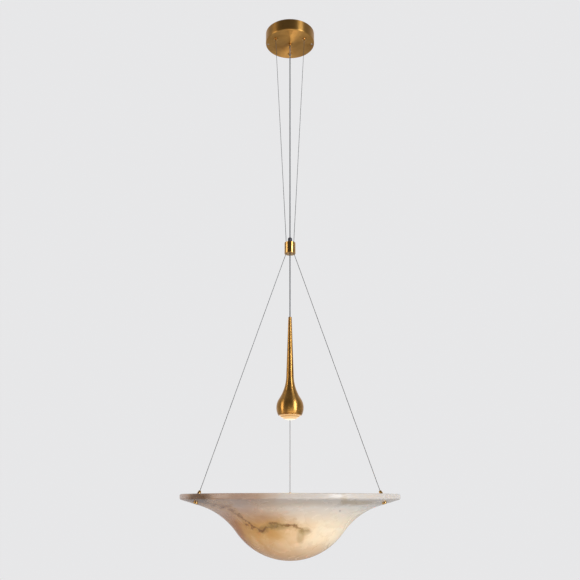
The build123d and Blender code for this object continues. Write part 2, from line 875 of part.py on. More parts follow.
with BuildPart() as rim_bushes:
    for angle in cable_angles.values():
        face, line = rim_outline(
            angle,
            (cable_bore_radius, sleeve_end),
            (bush_sleeve_radius, sleeve_end),
            (bush_sleeve_radius, washer_top),
            (bush_flange_radius, washer_top),
            (bush_flange_radius, flange_top - edge_break),
            (bush_flange_radius - edge_break, flange_top),
            (bush_neck_radius, flange_top),
            (bush_neck_radius, flange_top + bush_neck_height),
            (bush_tip_radius + bush_tip_inset, bush_top - bush_tip_height),
            (bush_tip_radius, bush_top),
            (cable_bore_radius + edge_break, bush_top),
            (cable_bore_radius, bush_top - edge_break),
        )
        revolve(face, axis=line)
keep(rim_bushes, "rim_bushes")

with BuildPart() as rim_bottom_washers:
    for angle in cable_angles.values():
        face, line = rim_outline(
            angle,
            (rim_hole_radius, stop_seat),
            (bottom_washer_radius, stop_seat),
            (bottom_washer_radius, -seat_bottom),
            (rim_hole_radius, -seat_bottom),
        )
        revolve(face, axis=line)
keep(rim_bottom_washers, "rim_bottom_washers")

with BuildPart() as cable_stops:
    for angle in cable_angles.values():
        face, line = rim_outline(
            angle,
            (0, stop_bottom),
            (stop_radius, stop_bottom),
            (stop_radius, stop_seat),
            (cable_radius + swage_clearance, stop_seat),
            (cable_radius + swage_clearance, stop_bottom + stop_floor),
            (0, stop_bottom + stop_floor),
        )
        revolve(face, axis=line)
    widest_edges = cable_stops.edges().filter_by(GeomType.CIRCLE).group_by(SortBy.RADIUS)[-1]
    fillet(widest_edges.sort_by(Axis.Z)[: len(cable_angles)], stop_round)
keep(cable_stops, "cable_stops")

lower_cable_reach = (lower_cable_top - rim_level) / cos(lean)
lower_cable_length = lower_cable_reach - stop_bottom - stop_floor - swage_clearance
for side, angle in cable_angles.items():
    start = rim_plane(angle, -lower_cable_reach)
    with BuildPart(start) as lower_cable:
        Sphere(cable_radius)
        Cylinder(cable_radius, lower_cable_length, align=(Align.CENTER, Align.CENTER, Align.MAX))
    keep(lower_cable, f"lower_cable_{side}")
print(f"lower cable length {lower_cable_length:.1f} mm, lean {degrees(lean):.2f} deg")

# Spot cord, from the collar to the tip of the spot

spot_cord_length = spot_pivot - tip_pivot
with BuildPart(level(spot_pivot)) as spot_cord:
    Sphere(cord_radius)
    Cylinder(cord_radius, spot_cord_length, align=(Align.CENTER, Align.CENTER, Align.MAX))
    with Locations((0, 0, -spot_cord_length)):
        Sphere(cord_radius)
keep(spot_cord, "spot_cord")
print(f"spot cord length {spot_cord_length + 2 * cord_radius:.1f} mm")

# Spot body: a tapering stem, a flare, and a bulge that turns in to the bezel

taper = radians(stem_taper)
bulge_level = spot_bottom + spot_bulge_height
bulge_x = spot_bulge_radius - spot_bulge_arc
foot_x = spot_bulge_radius - spot_foot_arc
spot_arcs = spot_bulge_arc + spot_flare_arc


def stem_radius(depth):
    """the stem's radius this far below the tip"""
    return spot_tip_radius + depth * tan(taper)


# The flare's centre lies where its arc touches both the stem's line and the bulge's arc
stem_reach = stem_radius(spot_length - spot_bulge_height) * cos(taper) + spot_flare_arc
flare_turn = acos((stem_reach - bulge_x * cos(taper)) / spot_arcs) + taper
spot_flare_x = bulge_x + spot_arcs * cos(flare_turn)
spot_flare_z = bulge_level + spot_arcs * sin(flare_turn)
bezel_top = spot_bottom + bezel_height
stem_end = spot_flare_z - spot_flare_arc * sin(taper)
stem_end_x = spot_flare_x - spot_flare_arc * cos(taper)
flare_start = degrees(pi + taper)
cavity_start = spot_bottom + cavity_height
shoulder = spot_bottom + cavity_shoulder
thread_radius = bezel_inner_radius + bezel_thread_wall
thread_top = bezel_top + bezel_thread_length
body_top = spot_top - tip_bush_height
spigot_bottom = body_top - tip_spigot_length

with BuildPart() as spot_body:
    with BuildSketch(Plane.XZ):
        with BuildLine():
            Line((0, body_top), (stem_radius(tip_bush_height), body_top))
            Line((stem_radius(tip_bush_height), body_top), (stem_end_x, stem_end))
            flare_middle = (spot_flare_x, spot_flare_z)
            CenterArc(flare_middle, spot_flare_arc, flare_start, degrees(flare_turn - taper))
            low_turn = asin((bezel_top - bulge_level) / spot_foot_arc)
            CenterArc((bulge_x, bulge_level), spot_bulge_arc, 0, degrees(flare_turn))
            foot = CenterArc((foot_x, bulge_level), spot_foot_arc, 0, degrees(low_turn))
            Line(foot @ 1, (0, bezel_top))
            Line((0, bezel_top), (0, body_top))
        make_face()
    revolve(axis=Axis.Z)
    cavity = outline(
        Plane.XZ,
        (0, bezel_top),
        (thread_radius + thread_clearance, bezel_top),
        (thread_radius + thread_clearance, thread_top + face_gap),
        (cavity_radius, thread_top + face_gap),
        (cavity_radius, shoulder),
        (cavity_top_radius, cavity_start),
        (stem_bore_radius, cavity_start),
        (stem_bore_radius, spigot_bottom - face_gap),
        (tip_spigot_radius + thread_clearance, spigot_bottom - face_gap),
        (tip_spigot_radius + thread_clearance, body_top),
        (0, body_top),
    )
    revolve(cavity, axis=Axis.Z, mode=Mode.SUBTRACT)
keep(spot_body, "spot_body")
print(f"spot stem meets flare {spot_top - stem_end:.1f} below the tip")

with BuildPart() as spot_tip_bush:
    tip = outline(
        Plane.XZ,
        (pivot_bore + swing_clearance + flare_slope * tip_pivot_depth, spot_top),
        (spot_tip_radius - edge_break, spot_top),
        (stem_radius(edge_break), spot_top - edge_break),
        (stem_radius(tip_bush_height), body_top),
        (tip_spigot_radius, body_top),
        (tip_spigot_radius, spigot_bottom),
        (cord_bore, spigot_bottom),
        (cord_bore, tip_pivot - cord_radius),
        (pivot_bore, tip_pivot),
    )
    revolve(tip, axis=Axis.Z)
keep(spot_tip_bush, "spot_tip_bush")

# Inside the spot

cord_stop_top = spot_bottom + cord_stop_level
cord_end_top = tip_pivot - cord_radius - swing_clearance
cord_end_bottom = cord_stop_top - cord_stop_height
with BuildPart(level(cord_end_top)) as spot_cord_end:
    Cylinder(cord_radius, cord_end_top - cord_end_bottom, align=(Align.CENTER, Align.CENTER, Align.MAX))
keep(spot_cord_end, "spot_cord_end")

with BuildPart() as spot_cord_stop:
    with BuildSketch(level(cord_stop_top)):
        Circle(cord_stop_radius)
        Circle(cord_radius + swage_clearance, mode=Mode.SUBTRACT)
    extrude(amount=-cord_stop_height)
keep(spot_cord_stop, "spot_cord_stop")

cavity_slope = (cavity_radius - cavity_top_radius) / (cavity_height - cavity_shoulder)
sink_top = spot_bottom + heat_sink_level
sink_bottom = sink_top - heat_sink_height
sink_radius = cavity_radius - heat_sink_gap
sink_top_radius = cavity_top_radius + (cavity_height - heat_sink_level) * cavity_slope - heat_sink_gap
board_screw_places = [(-board_screw_circle, 0), (board_screw_circle, 0)]
with BuildPart() as spot_heat_sink:
    slug = outline(
        Plane.XZ,
        (heat_sink_bore, sink_top),
        (sink_top_radius, sink_top),
        (sink_radius, shoulder),
        (sink_radius, sink_bottom),
        (heat_sink_bore, sink_bottom),
    )
    revolve(slug, axis=Axis.Z)
    with BuildSketch(level(sink_bottom)):
        with Locations(*board_screw_places):
            Circle(board_screw_radius + thread_clearance)
    extrude(amount=board_screw_length, mode=Mode.SUBTRACT)
keep(spot_heat_sink, "spot_heat_sink")

board_bottom = sink_bottom - board_height
with BuildPart() as led_board:
    with BuildSketch(level(board_bottom)):
        Circle(board_radius)
        with Locations(*board_screw_places):
            Circle(board_screw_radius + hole_clearance, mode=Mode.SUBTRACT)
    extrude(amount=board_height)
keep(led_board, "led_board")

with BuildPart() as led_chip:
    with BuildSketch(level(board_bottom - chip_height)):
        Circle(chip_radius)
    extrude(amount=chip_height)
keep(led_chip, "led_chip")

with BuildPart() as led_board_screws:
    with BuildSketch(level(board_bottom)):
        with Locations(*board_screw_places):
            Circle(board_screw_radius)
    extrude(amount=board_height + board_screw_length)
    with BuildSketch(level(board_bottom - board_screw_head_height)):
        with Locations(*board_screw_places):
            Circle(board_screw_head_radius)
    extrude(amount=board_screw_head_height)
keep(led_board_screws, "led_board_screws")

with BuildPart() as led_leads:
    with BuildSketch(level(sink_bottom)):
        with Locations((-led_lead_spread / 2, 0), (led_lead_spread / 2, 0)):
            Circle(led_lead_radius)
    extrude(amount=cord_end_bottom - sink_bottom)
keep(led_leads, "led_leads")

lip_top = spot_bottom + bezel_lip
lens_top = lip_top + lens_flange
gasket_top = lens_top + gasket_height
reflector_bottom = gasket_top
reflector_top = board_bottom
reflector_neck = reflector_top - reflector_neck_height
reflector_rim_top = reflector_bottom + reflector_wall
reflector_outer_neck = reflector_neck_radius + reflector_wall
reflector_outer_mouth = reflector_mouth_radius + reflector_wall
flange_radius = lens_radius - lens_play
with BuildPart() as spot_reflector:
    with BuildSketch(Plane.XZ):
        with BuildLine():
            Line((reflector_neck_radius, reflector_top), (reflector_neck_radius, reflector_neck))
            RadiusArc(
                (reflector_neck_radius, reflector_neck),
                (reflector_mouth_radius, reflector_bottom),
                reflector_arc,
            )
            Line((reflector_mouth_radius, reflector_bottom), (flange_radius, reflector_bottom))
            Line((flange_radius, reflector_bottom), (flange_radius, reflector_rim_top))
            Line((flange_radius, reflector_rim_top), (reflector_outer_mouth, reflector_rim_top))
            RadiusArc(
                (reflector_outer_mouth, reflector_rim_top),
                (reflector_outer_neck, reflector_neck),
                -reflector_arc,
            )
            Line((reflector_outer_neck, reflector_neck), (reflector_outer_neck, reflector_top))
            Line((reflector_outer_neck, reflector_top), (reflector_neck_radius, reflector_top))
        make_face()
    revolve(axis=Axis.Z)
keep(spot_reflector, "spot_reflector")

with BuildPart() as lens_gasket:
    with BuildSketch(level(lens_top)):
        Circle(flange_radius)
        Circle(gasket_inner_radius, mode=Mode.SUBTRACT)
    extrude(amount=gasket_height)
keep(lens_gasket, "lens_gasket")

dome_base = spot_bottom + lens_band
dome_sphere = (lens_dome_radius**2 + lens_dome_height**2) / (2 * lens_dome_height)
dome_bottom = dome_base - lens_dome_height
dome_turn = degrees(asin(lens_dome_radius / dome_sphere))
with BuildPart() as spot_lens:
    with BuildSketch(Plane.XZ):
        with BuildLine():
            Line((0, lens_top), (lens_radius, lens_top))
            Line((lens_radius, lens_top), (lens_radius, lip_top))
            Line((lens_radius, lip_top), (lens_dome_radius, lip_top))
            Line((lens_dome_radius, lip_top), (lens_dome_radius, dome_base))
            CenterArc((0, dome_bottom + dome_sphere), dome_sphere, -90, dome_turn)
            Line((0, dome_bottom), (0, lens_top))
        make_face()
    revolve(axis=Axis.Z)
keep(spot_lens, "spot_lens")

with BuildPart() as spot_bezel:
    with BuildSketch(Plane.XZ):
        with BuildLine():
            end_turn = asin((spot_bottom - bulge_level) / spot_foot_arc)
            start_turn = asin((bezel_top - face_gap - bulge_level) / spot_foot_arc)
            turned = degrees(start_turn - end_turn)
            rim_arc = CenterArc((foot_x, bulge_level), spot_foot_arc, degrees(end_turn), turned)
            Line(rim_arc @ 1, (thread_radius, bezel_top - face_gap))
            Line((thread_radius, bezel_top - face_gap), (thread_radius, thread_top))
            Line((thread_radius, thread_top), (bezel_inner_radius, thread_top))
            Line((bezel_inner_radius, thread_top), (bezel_inner_radius, lip_top))
            Line((bezel_inner_radius, lip_top), (lens_opening_radius, lip_top))
            Line((lens_opening_radius, lip_top), (lens_opening_radius, spot_bottom))
            Line((lens_opening_radius, spot_bottom), rim_arc @ 0)
        make_face()
    revolve(axis=Axis.Z)
keep(spot_bezel, "spot_bezel")

print(f"rim top at {rim_level:.1f}, bowl bottom at {rim_level - shade_depth:.1f}, spot tip at {spot_top:.1f}")
print(f"spot bottom at {spot_bottom:.1f}, lens bottom at {dome_bottom:.1f}")
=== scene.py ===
# %% [markdown]
# # A pendant light with a veined bowl shade and a teardrop spot
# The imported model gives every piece's place, body and joint. This script is about how the light looks: it
# turns the round pieces again as smooth meshes, lays the cables along smooth routes and gives every surface
# a procedural finish. Everything is in metres, with the ceiling at zero height and the front towards -Y.

# %% Load the frame
import json
from math import atan2, cos, degrees, hypot, pi, radians, sin, tan

import bmesh
import bpy
from mathutils import Matrix, Vector

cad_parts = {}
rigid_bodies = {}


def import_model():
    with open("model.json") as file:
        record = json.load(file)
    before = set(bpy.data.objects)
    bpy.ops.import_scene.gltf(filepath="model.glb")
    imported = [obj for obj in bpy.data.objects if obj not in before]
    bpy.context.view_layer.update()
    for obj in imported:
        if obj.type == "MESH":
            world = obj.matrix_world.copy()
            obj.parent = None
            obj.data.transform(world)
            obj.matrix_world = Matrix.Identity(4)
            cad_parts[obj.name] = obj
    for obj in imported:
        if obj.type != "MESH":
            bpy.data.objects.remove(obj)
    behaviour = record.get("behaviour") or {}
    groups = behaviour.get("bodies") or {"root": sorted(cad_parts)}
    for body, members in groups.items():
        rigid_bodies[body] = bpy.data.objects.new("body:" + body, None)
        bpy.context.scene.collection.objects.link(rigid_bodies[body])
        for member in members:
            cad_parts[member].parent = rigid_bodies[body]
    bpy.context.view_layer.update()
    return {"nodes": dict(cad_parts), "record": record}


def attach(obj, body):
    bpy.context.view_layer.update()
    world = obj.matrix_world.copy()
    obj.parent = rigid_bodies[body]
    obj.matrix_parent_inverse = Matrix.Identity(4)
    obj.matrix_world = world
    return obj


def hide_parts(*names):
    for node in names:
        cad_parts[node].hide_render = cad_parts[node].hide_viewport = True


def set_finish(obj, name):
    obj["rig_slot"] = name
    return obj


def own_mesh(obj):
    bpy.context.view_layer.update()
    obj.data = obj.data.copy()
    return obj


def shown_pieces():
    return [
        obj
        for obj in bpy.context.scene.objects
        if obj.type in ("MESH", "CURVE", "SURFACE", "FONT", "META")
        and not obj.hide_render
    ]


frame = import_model()
scene = bpy.context.scene
print("nodes in the frame:", len(frame["nodes"]))


def mm(value):
    """Millimetres as the metres that the scene is built in."""
    return value * 0.001


# %% [markdown]
# ## The camera
# The photograph was taken from below, with the middle of the light in the middle of the frame. A lens could
# be shifted to get there, but a shift stays when other views move the camera, so the camera is tilted up
# instead. Its place and its focal length come from the ellipses of the canopy, the collar and the rim.

# %% Camera
camera_tilt = 16.423
camera_distance = 1.70876
camera_height = -1.24224
camera_data = bpy.data.cameras.new("camera")
camera_data.lens = 44.55
camera_data.sensor_width = 36.0
camera = bpy.data.objects.new("camera", camera_data)
camera.location = (0, -camera_distance, camera_height)
camera.rotation_euler = (radians(90 + camera_tilt), 0, 0)
scene.collection.objects.link(camera)
scene.camera = camera
print("camera tilted up", camera_tilt, "degrees")

# %% [markdown]
# ## Levels
# The long hanging pieces follow one another down from the ceiling. These are the heights where one ends and
# the next begins, and the circles that the three cables stand on. One cable is at the back, and the other
# two are at the front, left and right.

# %% Levels and circles
UNDERSIDE = -31.5
SWAY_LEVEL = -34.25
COLLAR_TOP = -614.0
COLLAR_BOTTOM = -644.0
RIM_LEVEL = -1226.0
SPOT_TOP = -808.0
SPOT_BOTTOM = -1046.8
CABLE_CIRCLE = 45.0
COLLAR_CIRCLE = 11.0
RIM_CIRCLE = 225.0
CABLE_ANGLES = {"left": 210, "right": 330, "back": 90}
LOWER_CABLE_TOP = COLLAR_BOTTOM + 0.3
LEAN = atan2(RIM_CIRCLE - COLLAR_CIRCLE, LOWER_CABLE_TOP - RIM_LEVEL)
print("lower cables lean", round(degrees(LEAN), 2), "degrees")


def on_circle(radius, angle, height):
    """A point at this radius, angle and height, all in millimetres and degrees, as metres."""
    return Vector((mm(radius) * cos(radians(angle)), mm(radius) * sin(radians(angle)), mm(height)))


# %% [markdown]
# ## Cables and cord
# A steel cable is six bundles of wire laid round a seventh, so its outline is a rounded star that turns
# slowly along its length. A bevelled curve would be a smooth rod, and modelling each wire would take
# millions of faces. Here the cable's route is one NURBS spline, points are read back from it, and a small
# six-lobed ring is carried along them with a little twist at each step. The power cord is the same with a
# plain ring. All of them are taut between two fixed ends.

# %% A ring carried along a route
def route_points(name, points, resolution):
    """Points read from the smooth spline that has the route's points as its control points."""
    data = bpy.data.curves.new(name, "CURVE")
    data.dimensions = "3D"
    data.resolution_u = resolution
    spline = data.splines.new("NURBS")
    spline.points.add(len(points) - 1)
    for control, point in zip(spline.points, points):
        control.co = (*point, 1.0)
    spline.order_u = 3
    spline.use_endpoint_u = True
    holder = bpy.data.objects.new(name, data)
    scene.collection.objects.link(holder)
    bpy.context.view_layer.update()
    line = bpy.data.meshes.new_from_object(holder)
    found = [vertex.co.copy() for vertex in line.vertices]
    bpy.data.objects.remove(holder)
    return found


def cord_tube(name, points, radius, lobes=0, lobe_depth=0.0, lay=0.01, resolution=48, sides=12):
    """A tube along a route, with a lobed outline that turns once in every lay if lobes are asked for."""
    path = route_points(name + "_route", points, resolution)
    bm = bmesh.new()
    rings = []
    travelled = 0.0
    for index, point in enumerate(path):
        before = path[max(index - 1, 0)]
        after = path[min(index + 1, len(path) - 1)]
        travelled += (point - before).length
        heading = (after - before).normalized()
        turn = 2 * pi * travelled / lay if lobes else 0.0
        frame_at = Matrix.Translation(point) @ heading.to_track_quat("Z", "Y").to_matrix().to_4x4()
        ring = bmesh.ops.create_circle(bm, segments=sides, radius=radius, cap_ends=False)["verts"]
        for vertex in ring:
            if lobes:
                vertex.co *= 1 - lobe_depth * (0.5 - 0.5 * cos(lobes * atan2(vertex.co.y, vertex.co.x)))
        bmesh.ops.transform(bm, matrix=frame_at @ Matrix.Rotation(turn, 4, "Z"), verts=ring)
        rings.append(ring)
    for lower, upper in zip(rings, rings[1:]):
        for side in range(sides):
            following = (side + 1) % sides
            bm.faces.new((lower[side], lower[following], upper[following], upper[side]))
    for ring in (rings[0], rings[-1]):
        bmesh.ops.contextual_create(bm, geom=ring)
    bmesh.ops.recalc_face_normals(bm, faces=bm.faces)
    return as_object(name, bm), path


def as_object(name, bm, smooth=True):
    """Turns a bmesh into a finished object at the origin."""
    mesh = bpy.data.meshes.new(name)
    bm.to_mesh(mesh)
    bm.free()
    for face in mesh.polygons:
        face.use_smooth = smooth
    piece = bpy.data.objects.new(name, mesh)
    scene.collection.objects.link(piece)
    return piece


# %% Lay the three steel cables, above and below the collar
CABLE_DIAMETER = 0.0015
TOP_ABOVE_SWAY = 2.0
BEND_ABOVE_COLLAR = 27.6
END_IN_COLLAR = 2.3
LOWER_CABLE_LENGTH = 642.0
CABLE_BUNDLES = {"lobes": 6, "lobe_depth": 0.16, "sides": 18}
cables = []
for side, angle in CABLE_ANGLES.items():
    slope = (CABLE_CIRCLE - COLLAR_CIRCLE) / (SWAY_LEVEL - COLLAR_TOP)
    top = on_circle(CABLE_CIRCLE + TOP_ABOVE_SWAY * slope, angle, SWAY_LEVEL + TOP_ABOVE_SWAY)
    above_bend = on_circle(
        COLLAR_CIRCLE + BEND_ABOVE_COLLAR * slope, angle, COLLAR_TOP + BEND_ABOVE_COLLAR
    )
    bend = on_circle(COLLAR_CIRCLE, angle, COLLAR_TOP)
    end = on_circle(COLLAR_CIRCLE, angle, COLLAR_BOTTOM + END_IN_COLLAR)
    piece, path = cord_tube(
        f"upper_steel_cable_{side}", [top, above_bend, bend, end], CABLE_DIAMETER / 2,
        resolution=200, **CABLE_BUNDLES,
    )
    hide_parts(f"upper_cable_{side}")
    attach(piece, "upper_hang")
    cables.append(piece)

    start = on_circle(COLLAR_CIRCLE, angle, LOWER_CABLE_TOP)
    down = on_circle(sin(LEAN), angle, 0) + Vector((0, 0, -mm(cos(LEAN))))
    middle = start + down * (LOWER_CABLE_LENGTH / 2)
    foot = start + down * LOWER_CABLE_LENGTH
    piece, path = cord_tube(
        f"lower_steel_cable_{side}", [start, middle, foot], CABLE_DIAMETER / 2,
        resolution=300, **CABLE_BUNDLES,
    )
    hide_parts(f"lower_cable_{side}")
    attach(piece, "shade_hang")
    cables.append(piece)
print("cables:", len(cables), "faces in the last:", len(cables[-1].data.polygons))

# %% Lay the power cord, above and below the collar
CORD_DIAMETER = 0.003
cord_tops = {"upper_power_cord": (SWAY_LEVEL + 1.5, COLLAR_BOTTOM + 3.1, "upper_cord", "upper_hang"),
             "spot_power_cord": (COLLAR_BOTTOM + 3.0, SPOT_TOP - 2.5, "spot_cord", "spot_hang")}
power_cords = []
for name, (top, bottom, node, body) in cord_tops.items():
    points = [Vector((0, 0, mm(level))) for level in (top, (top + bottom) / 2, bottom)]
    piece, path = cord_tube(name, points, CORD_DIAMETER / 2, resolution=24, sides=24)
    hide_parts(node)
    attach(piece, body)
    power_cords.append(piece)
print("power cord pieces:", [piece.name for piece in power_cords])

# %% [markdown]
# ## Turned pieces
# The canopy, the collar, the spot, the shade and all the small brass fittings are round, and most were made
# on a lathe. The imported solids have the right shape, but their loose triangles would break up a polished
# reflection. So each outline is drawn again with operators: a first point, then straight cuts that extrude
# the point, and round cuts that spin it about the arc's centre. The whole outline is then spun about the
# piece's own axis. This is how a lathe makes the piece, and every size is read straight from the outline.

# %% The lathe
ARC_STEP = 3.0
WELD = 1e-6


def only_verts(elements):
    """The vertices among what a bmesh operator made."""
    return [element for element in elements if isinstance(element, bmesh.types.BMVert)]


def draw_outline(bm, start, moves, step=ARC_STEP):
    """Draws a lathe outline: a move is a point to cut to, or a centre and an angle to cut round."""
    point = bmesh.ops.create_vert(bm, co=(mm(start[0]), 0, mm(start[1])))["vert"][0]
    for move in moves:
        if len(move) == 2:
            made = bmesh.ops.extrude_vert_indiv(bm, verts=[point])
            target = Vector((mm(move[0]), 0, mm(move[1])))
            point = made["verts"][0]
            bmesh.ops.translate(bm, verts=[point], vec=target - point.co)
        else:
            centre_x, centre_z, angle = move
            made = bmesh.ops.spin(
                bm, geom=[point], cent=(mm(centre_x), 0, mm(centre_z)), axis=(0, 1, 0),
                angle=radians(-angle), steps=max(2, round(abs(angle) / step)),
            )
            point = only_verts(made["geom_last"])[0]


def lathe(name, start, moves, turns=96, places=None, step=ARC_STEP, edge=0.0, edge_segments=2):
    """Spins an outline about the vertical axis, then sets a copy of it at each of the places."""
    bm = bmesh.new()
    draw_outline(bm, start, moves, step)
    bmesh.ops.remove_doubles(bm, verts=bm.verts, dist=WELD)
    bmesh.ops.spin(
        bm, geom=bm.verts[:] + bm.edges[:], cent=(0, 0, 0), axis=(0, 0, 1), angle=2 * pi,
        steps=turns, use_merge=True,
    )
    bmesh.ops.remove_doubles(bm, verts=bm.verts, dist=WELD)
    bmesh.ops.recalc_face_normals(bm, faces=bm.faces)
    if places:
        master = bm.verts[:] + bm.edges[:] + bm.faces[:]
        for place in places[1:]:
            copy = bmesh.ops.duplicate(bm, geom=master)["geom"]
            bmesh.ops.transform(bm, matrix=place, verts=only_verts(copy))
        bmesh.ops.transform(bm, matrix=places[0], verts=only_verts(master))
    piece = as_object(name, bm)
    if edge:
        soften(piece, edge, edge_segments)
    return piece


def soften(piece, width, segments=2):
    """Rounds a piece's sharp edges, so that they catch the light as real edges do."""
    bevel = piece.modifiers.new("edges", "BEVEL")
    bevel.width = mm(width)
    bevel.segments = segments
    bevel.limit_method = "ANGLE"
    bevel.angle_limit = radians(24)
    bevel.harden_normals = True
    bevel.miter_outer = "MITER_ARC"


def stands_for(piece, body, slot, *nodes):
    """Says which body a piece rides on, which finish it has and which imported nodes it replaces."""
    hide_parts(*nodes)
    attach(piece, body)
    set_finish(piece, slot)
    print(piece.name, "faces:", len(piece.data.polygons), "on", body)
    return piece


# %% [markdown]
# ## The canopy
# The canopy is a spun brass cup that hides the ceiling plate. Spinning leaves a wall of even thickness and
# a round corner, so its outline goes up the outside, over the edge and back down the inside. Four holes are
# then drilled for the cable grippers and the cord grip, which a spun outline can't have: a boolean takes
# them out, and the result becomes the piece's own mesh. Its two screws sit in the underside, 60 mm from the
# middle, in line with the plate's slots.

# %% A drill
def drill(piece, holes):
    """Cuts round holes up through a piece. Each hole is a place and a radius in millimetres."""
    bm = bmesh.new()
    for place, radius in holes:
        bmesh.ops.create_cone(
            bm, cap_ends=True, segments=48, radius1=mm(radius), radius2=mm(radius), depth=mm(10),
            matrix=Matrix.Translation(place),
        )
    bit_mesh = bpy.data.meshes.new("drill_bit")
    bm.to_mesh(bit_mesh)
    bm.free()
    bit = bpy.data.objects.new("drill_bit", bit_mesh)
    scene.collection.objects.link(bit)
    cut = piece.modifiers.new("holes", "BOOLEAN")
    cut.object = bit
    cut.solver = "EXACT"
    bpy.context.view_layer.update()
    evaluated = piece.evaluated_get(bpy.context.evaluated_depsgraph_get())
    drilled = bpy.data.meshes.new_from_object(evaluated)
    piece.modifiers.remove(cut)
    piece.data = drilled
    drilled.shade_smooth()
    drilled.set_sharp_from_angle(angle=radians(30))
    bpy.data.objects.remove(bit)
    bpy.data.meshes.remove(bit_mesh)


# %% Canopy and its screws
GRIPPER_HOLE = 4.1
CORD_HOLE = 3.6
canopy = lathe(
    "canopy_cup", (0, UNDERSIDE),
    [(64.5, UNDERSIDE), (64.5, UNDERSIDE + 2.0, 90), (66.5, 0), (65.3, 0), (65.3, UNDERSIDE + 1.2),
     (0, UNDERSIDE + 1.2)],
    turns=160, step=9,
)
holes = [(on_circle(CABLE_CIRCLE, angle, UNDERSIDE), GRIPPER_HOLE) for angle in CABLE_ANGLES.values()]
drill(canopy, holes + [((0, 0, mm(UNDERSIDE)), CORD_HOLE)])
soften(canopy, 0.2)
stands_for(canopy, "ceiling_set", "satin_brass", "canopy")
print(len(canopy.data.polygons), "faces in the canopy with its four holes")

SCREW_CIRCLE = 60.0
screw_places = [Matrix.Translation((mm(x), 0, mm(UNDERSIDE))) for x in (-SCREW_CIRCLE, SCREW_CIRCLE)]
canopy_screws = lathe(
    "canopy_socket_screws", (0, 1.0),
    [(1.15, 1.0), (1.15, -0.02), (2.4, -0.02), (2.65, 0.2), (1.55, 1.2), (1.5, 9.0), (0, 9.0)],
    turns=36, places=screw_places,
)
stands_for(canopy_screws, "ceiling_set", "screw_steel", "canopy_screws")

# %% [markdown]
# ## Cable grippers and cord grip
# Each cable enters the canopy through a gripper: a threaded brass body with a low flange, and a nose that
# is pressed up to let the cable slide. The power cord enters through a bush of its own. Only the parts
# under the canopy show, and small turned parts like these are read by their edges, so every edge gets a
# bevel. The spring behind each nose stays as packed, with a mesh of its own, and rides up with the nose.

# %% Grippers and cord grip
for side, angle in CABLE_ANGLES.items():
    place = Matrix.Translation(on_circle(CABLE_CIRCLE, angle, UNDERSIDE))
    body = lathe(
        f"gripper_collar_{side}", (2.06, -1.5),
        [(6.0, -1.5), (6.0, 0), (4.0, 0), (4.0, 15.0), (0.9, 15.0), (0.9, 13.8), (3.2, 13.8), (3.2, 10.0),
         (2.06, 4.0), (2.06, -1.5)],
        turns=64, places=[place], edge=0.3,
    )
    stands_for(body, "ceiling_set", "polished_brass", f"gripper_body_{side}")
    nose = lathe(
        f"gripper_nose_piece_{side}", (1.3, -4.5),
        [(2.0, -4.5), (2.0, 6.9), (2.4, 6.9), (2.4, 7.5), (0.9, 7.5), (0.9, 3.0), (1.3, 3.0), (1.3, -4.5)],
        turns=48, places=[place], edge=0.3,
    )
    stands_for(nose, f"gripper_nose_{side}", "polished_brass", f"gripper_plunger_{side}")

    spring = bpy.data.objects[f"gripper_spring_{side}"]
    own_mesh(spring)

cord_grip = lathe(
    "cord_grip_bush", (2.15, -5.5),
    [(3.2, -5.5), (3.2, -2.5), (4.3, -2.5), (4.3, 0), (3.5, 0), (3.5, 8.0), (1.6, 8.0), (1.6, -2.75),
     (2.15, -5.5)],
    turns=64, places=[Matrix.Translation((0, 0, mm(UNDERSIDE)))], edge=0.3,
)
stands_for(cord_grip, "ceiling_set", "polished_brass", "cord_grip")

# %% [markdown]
# ## The collar and its gland
# Halfway down, a turned brass collar gathers the three cables. Each passes down a bore near the rim and is
# pinched by a grub screw in the side. Cutting its bores needs a boolean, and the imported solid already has
# them, so the collar stays as packed and takes only a finish. The gland that grips the power cord is dark
# plastic: its seat is turned here, and its ribbed cap stays as packed too.

# %% Gland
gland_base = lathe(
    "gland_seat", (1.6, -7.8),
    [(4.5, -7.8), (4.5, 0), (5.4, 0), (5.4, 4.0), (3.6, 4.0), (3.6, 8.75), (1.6, 8.75), (1.6, -7.8)],
    turns=64, places=[Matrix.Translation((0, 0, mm(COLLAR_TOP)))], edge=0.25,
)
stands_for(gland_base, "upper_hang", "gland_plastic", "collar_gland_base")

# %% [markdown]
# ## The spot
# The spot hangs on the power cord like a drop: a stem that widens by about two degrees, a long hollow flare
# and a full round bulge. Its outline is three arcs and a straight line that run smoothly into each other,
# and the angles where they meet follow from their radii. The tip is a separate bush, and a bezel ring
# closes the lower end and holds the lens.

# %% Spot outline
STEM_TAPER = radians(1.9)
SPOT_LENGTH = 238.8
TIP_LENGTH = 8.0
TIP_RADIUS = 4.15
BULGE_RADIUS = 32.4
BULGE_ARC = 38.0
FOOT_ARC = 37.0
FLARE_ARC = 103.0
BULGE_HEIGHT = 17.8
BULGE_LEVEL = SPOT_BOTTOM + BULGE_HEIGHT
BULGE_X = BULGE_RADIUS - BULGE_ARC
FOOT_X = BULGE_RADIUS - FOOT_ARC


def stem_radius(depth):
    """The stem's radius this far below the tip."""
    return TIP_RADIUS + depth * tan(STEM_TAPER)


def foot_angle(height):
    """The angle on the foot's arc at a height."""
    return degrees(atan2(height - BULGE_LEVEL, (FOOT_ARC**2 - (height - BULGE_LEVEL) ** 2) ** 0.5))


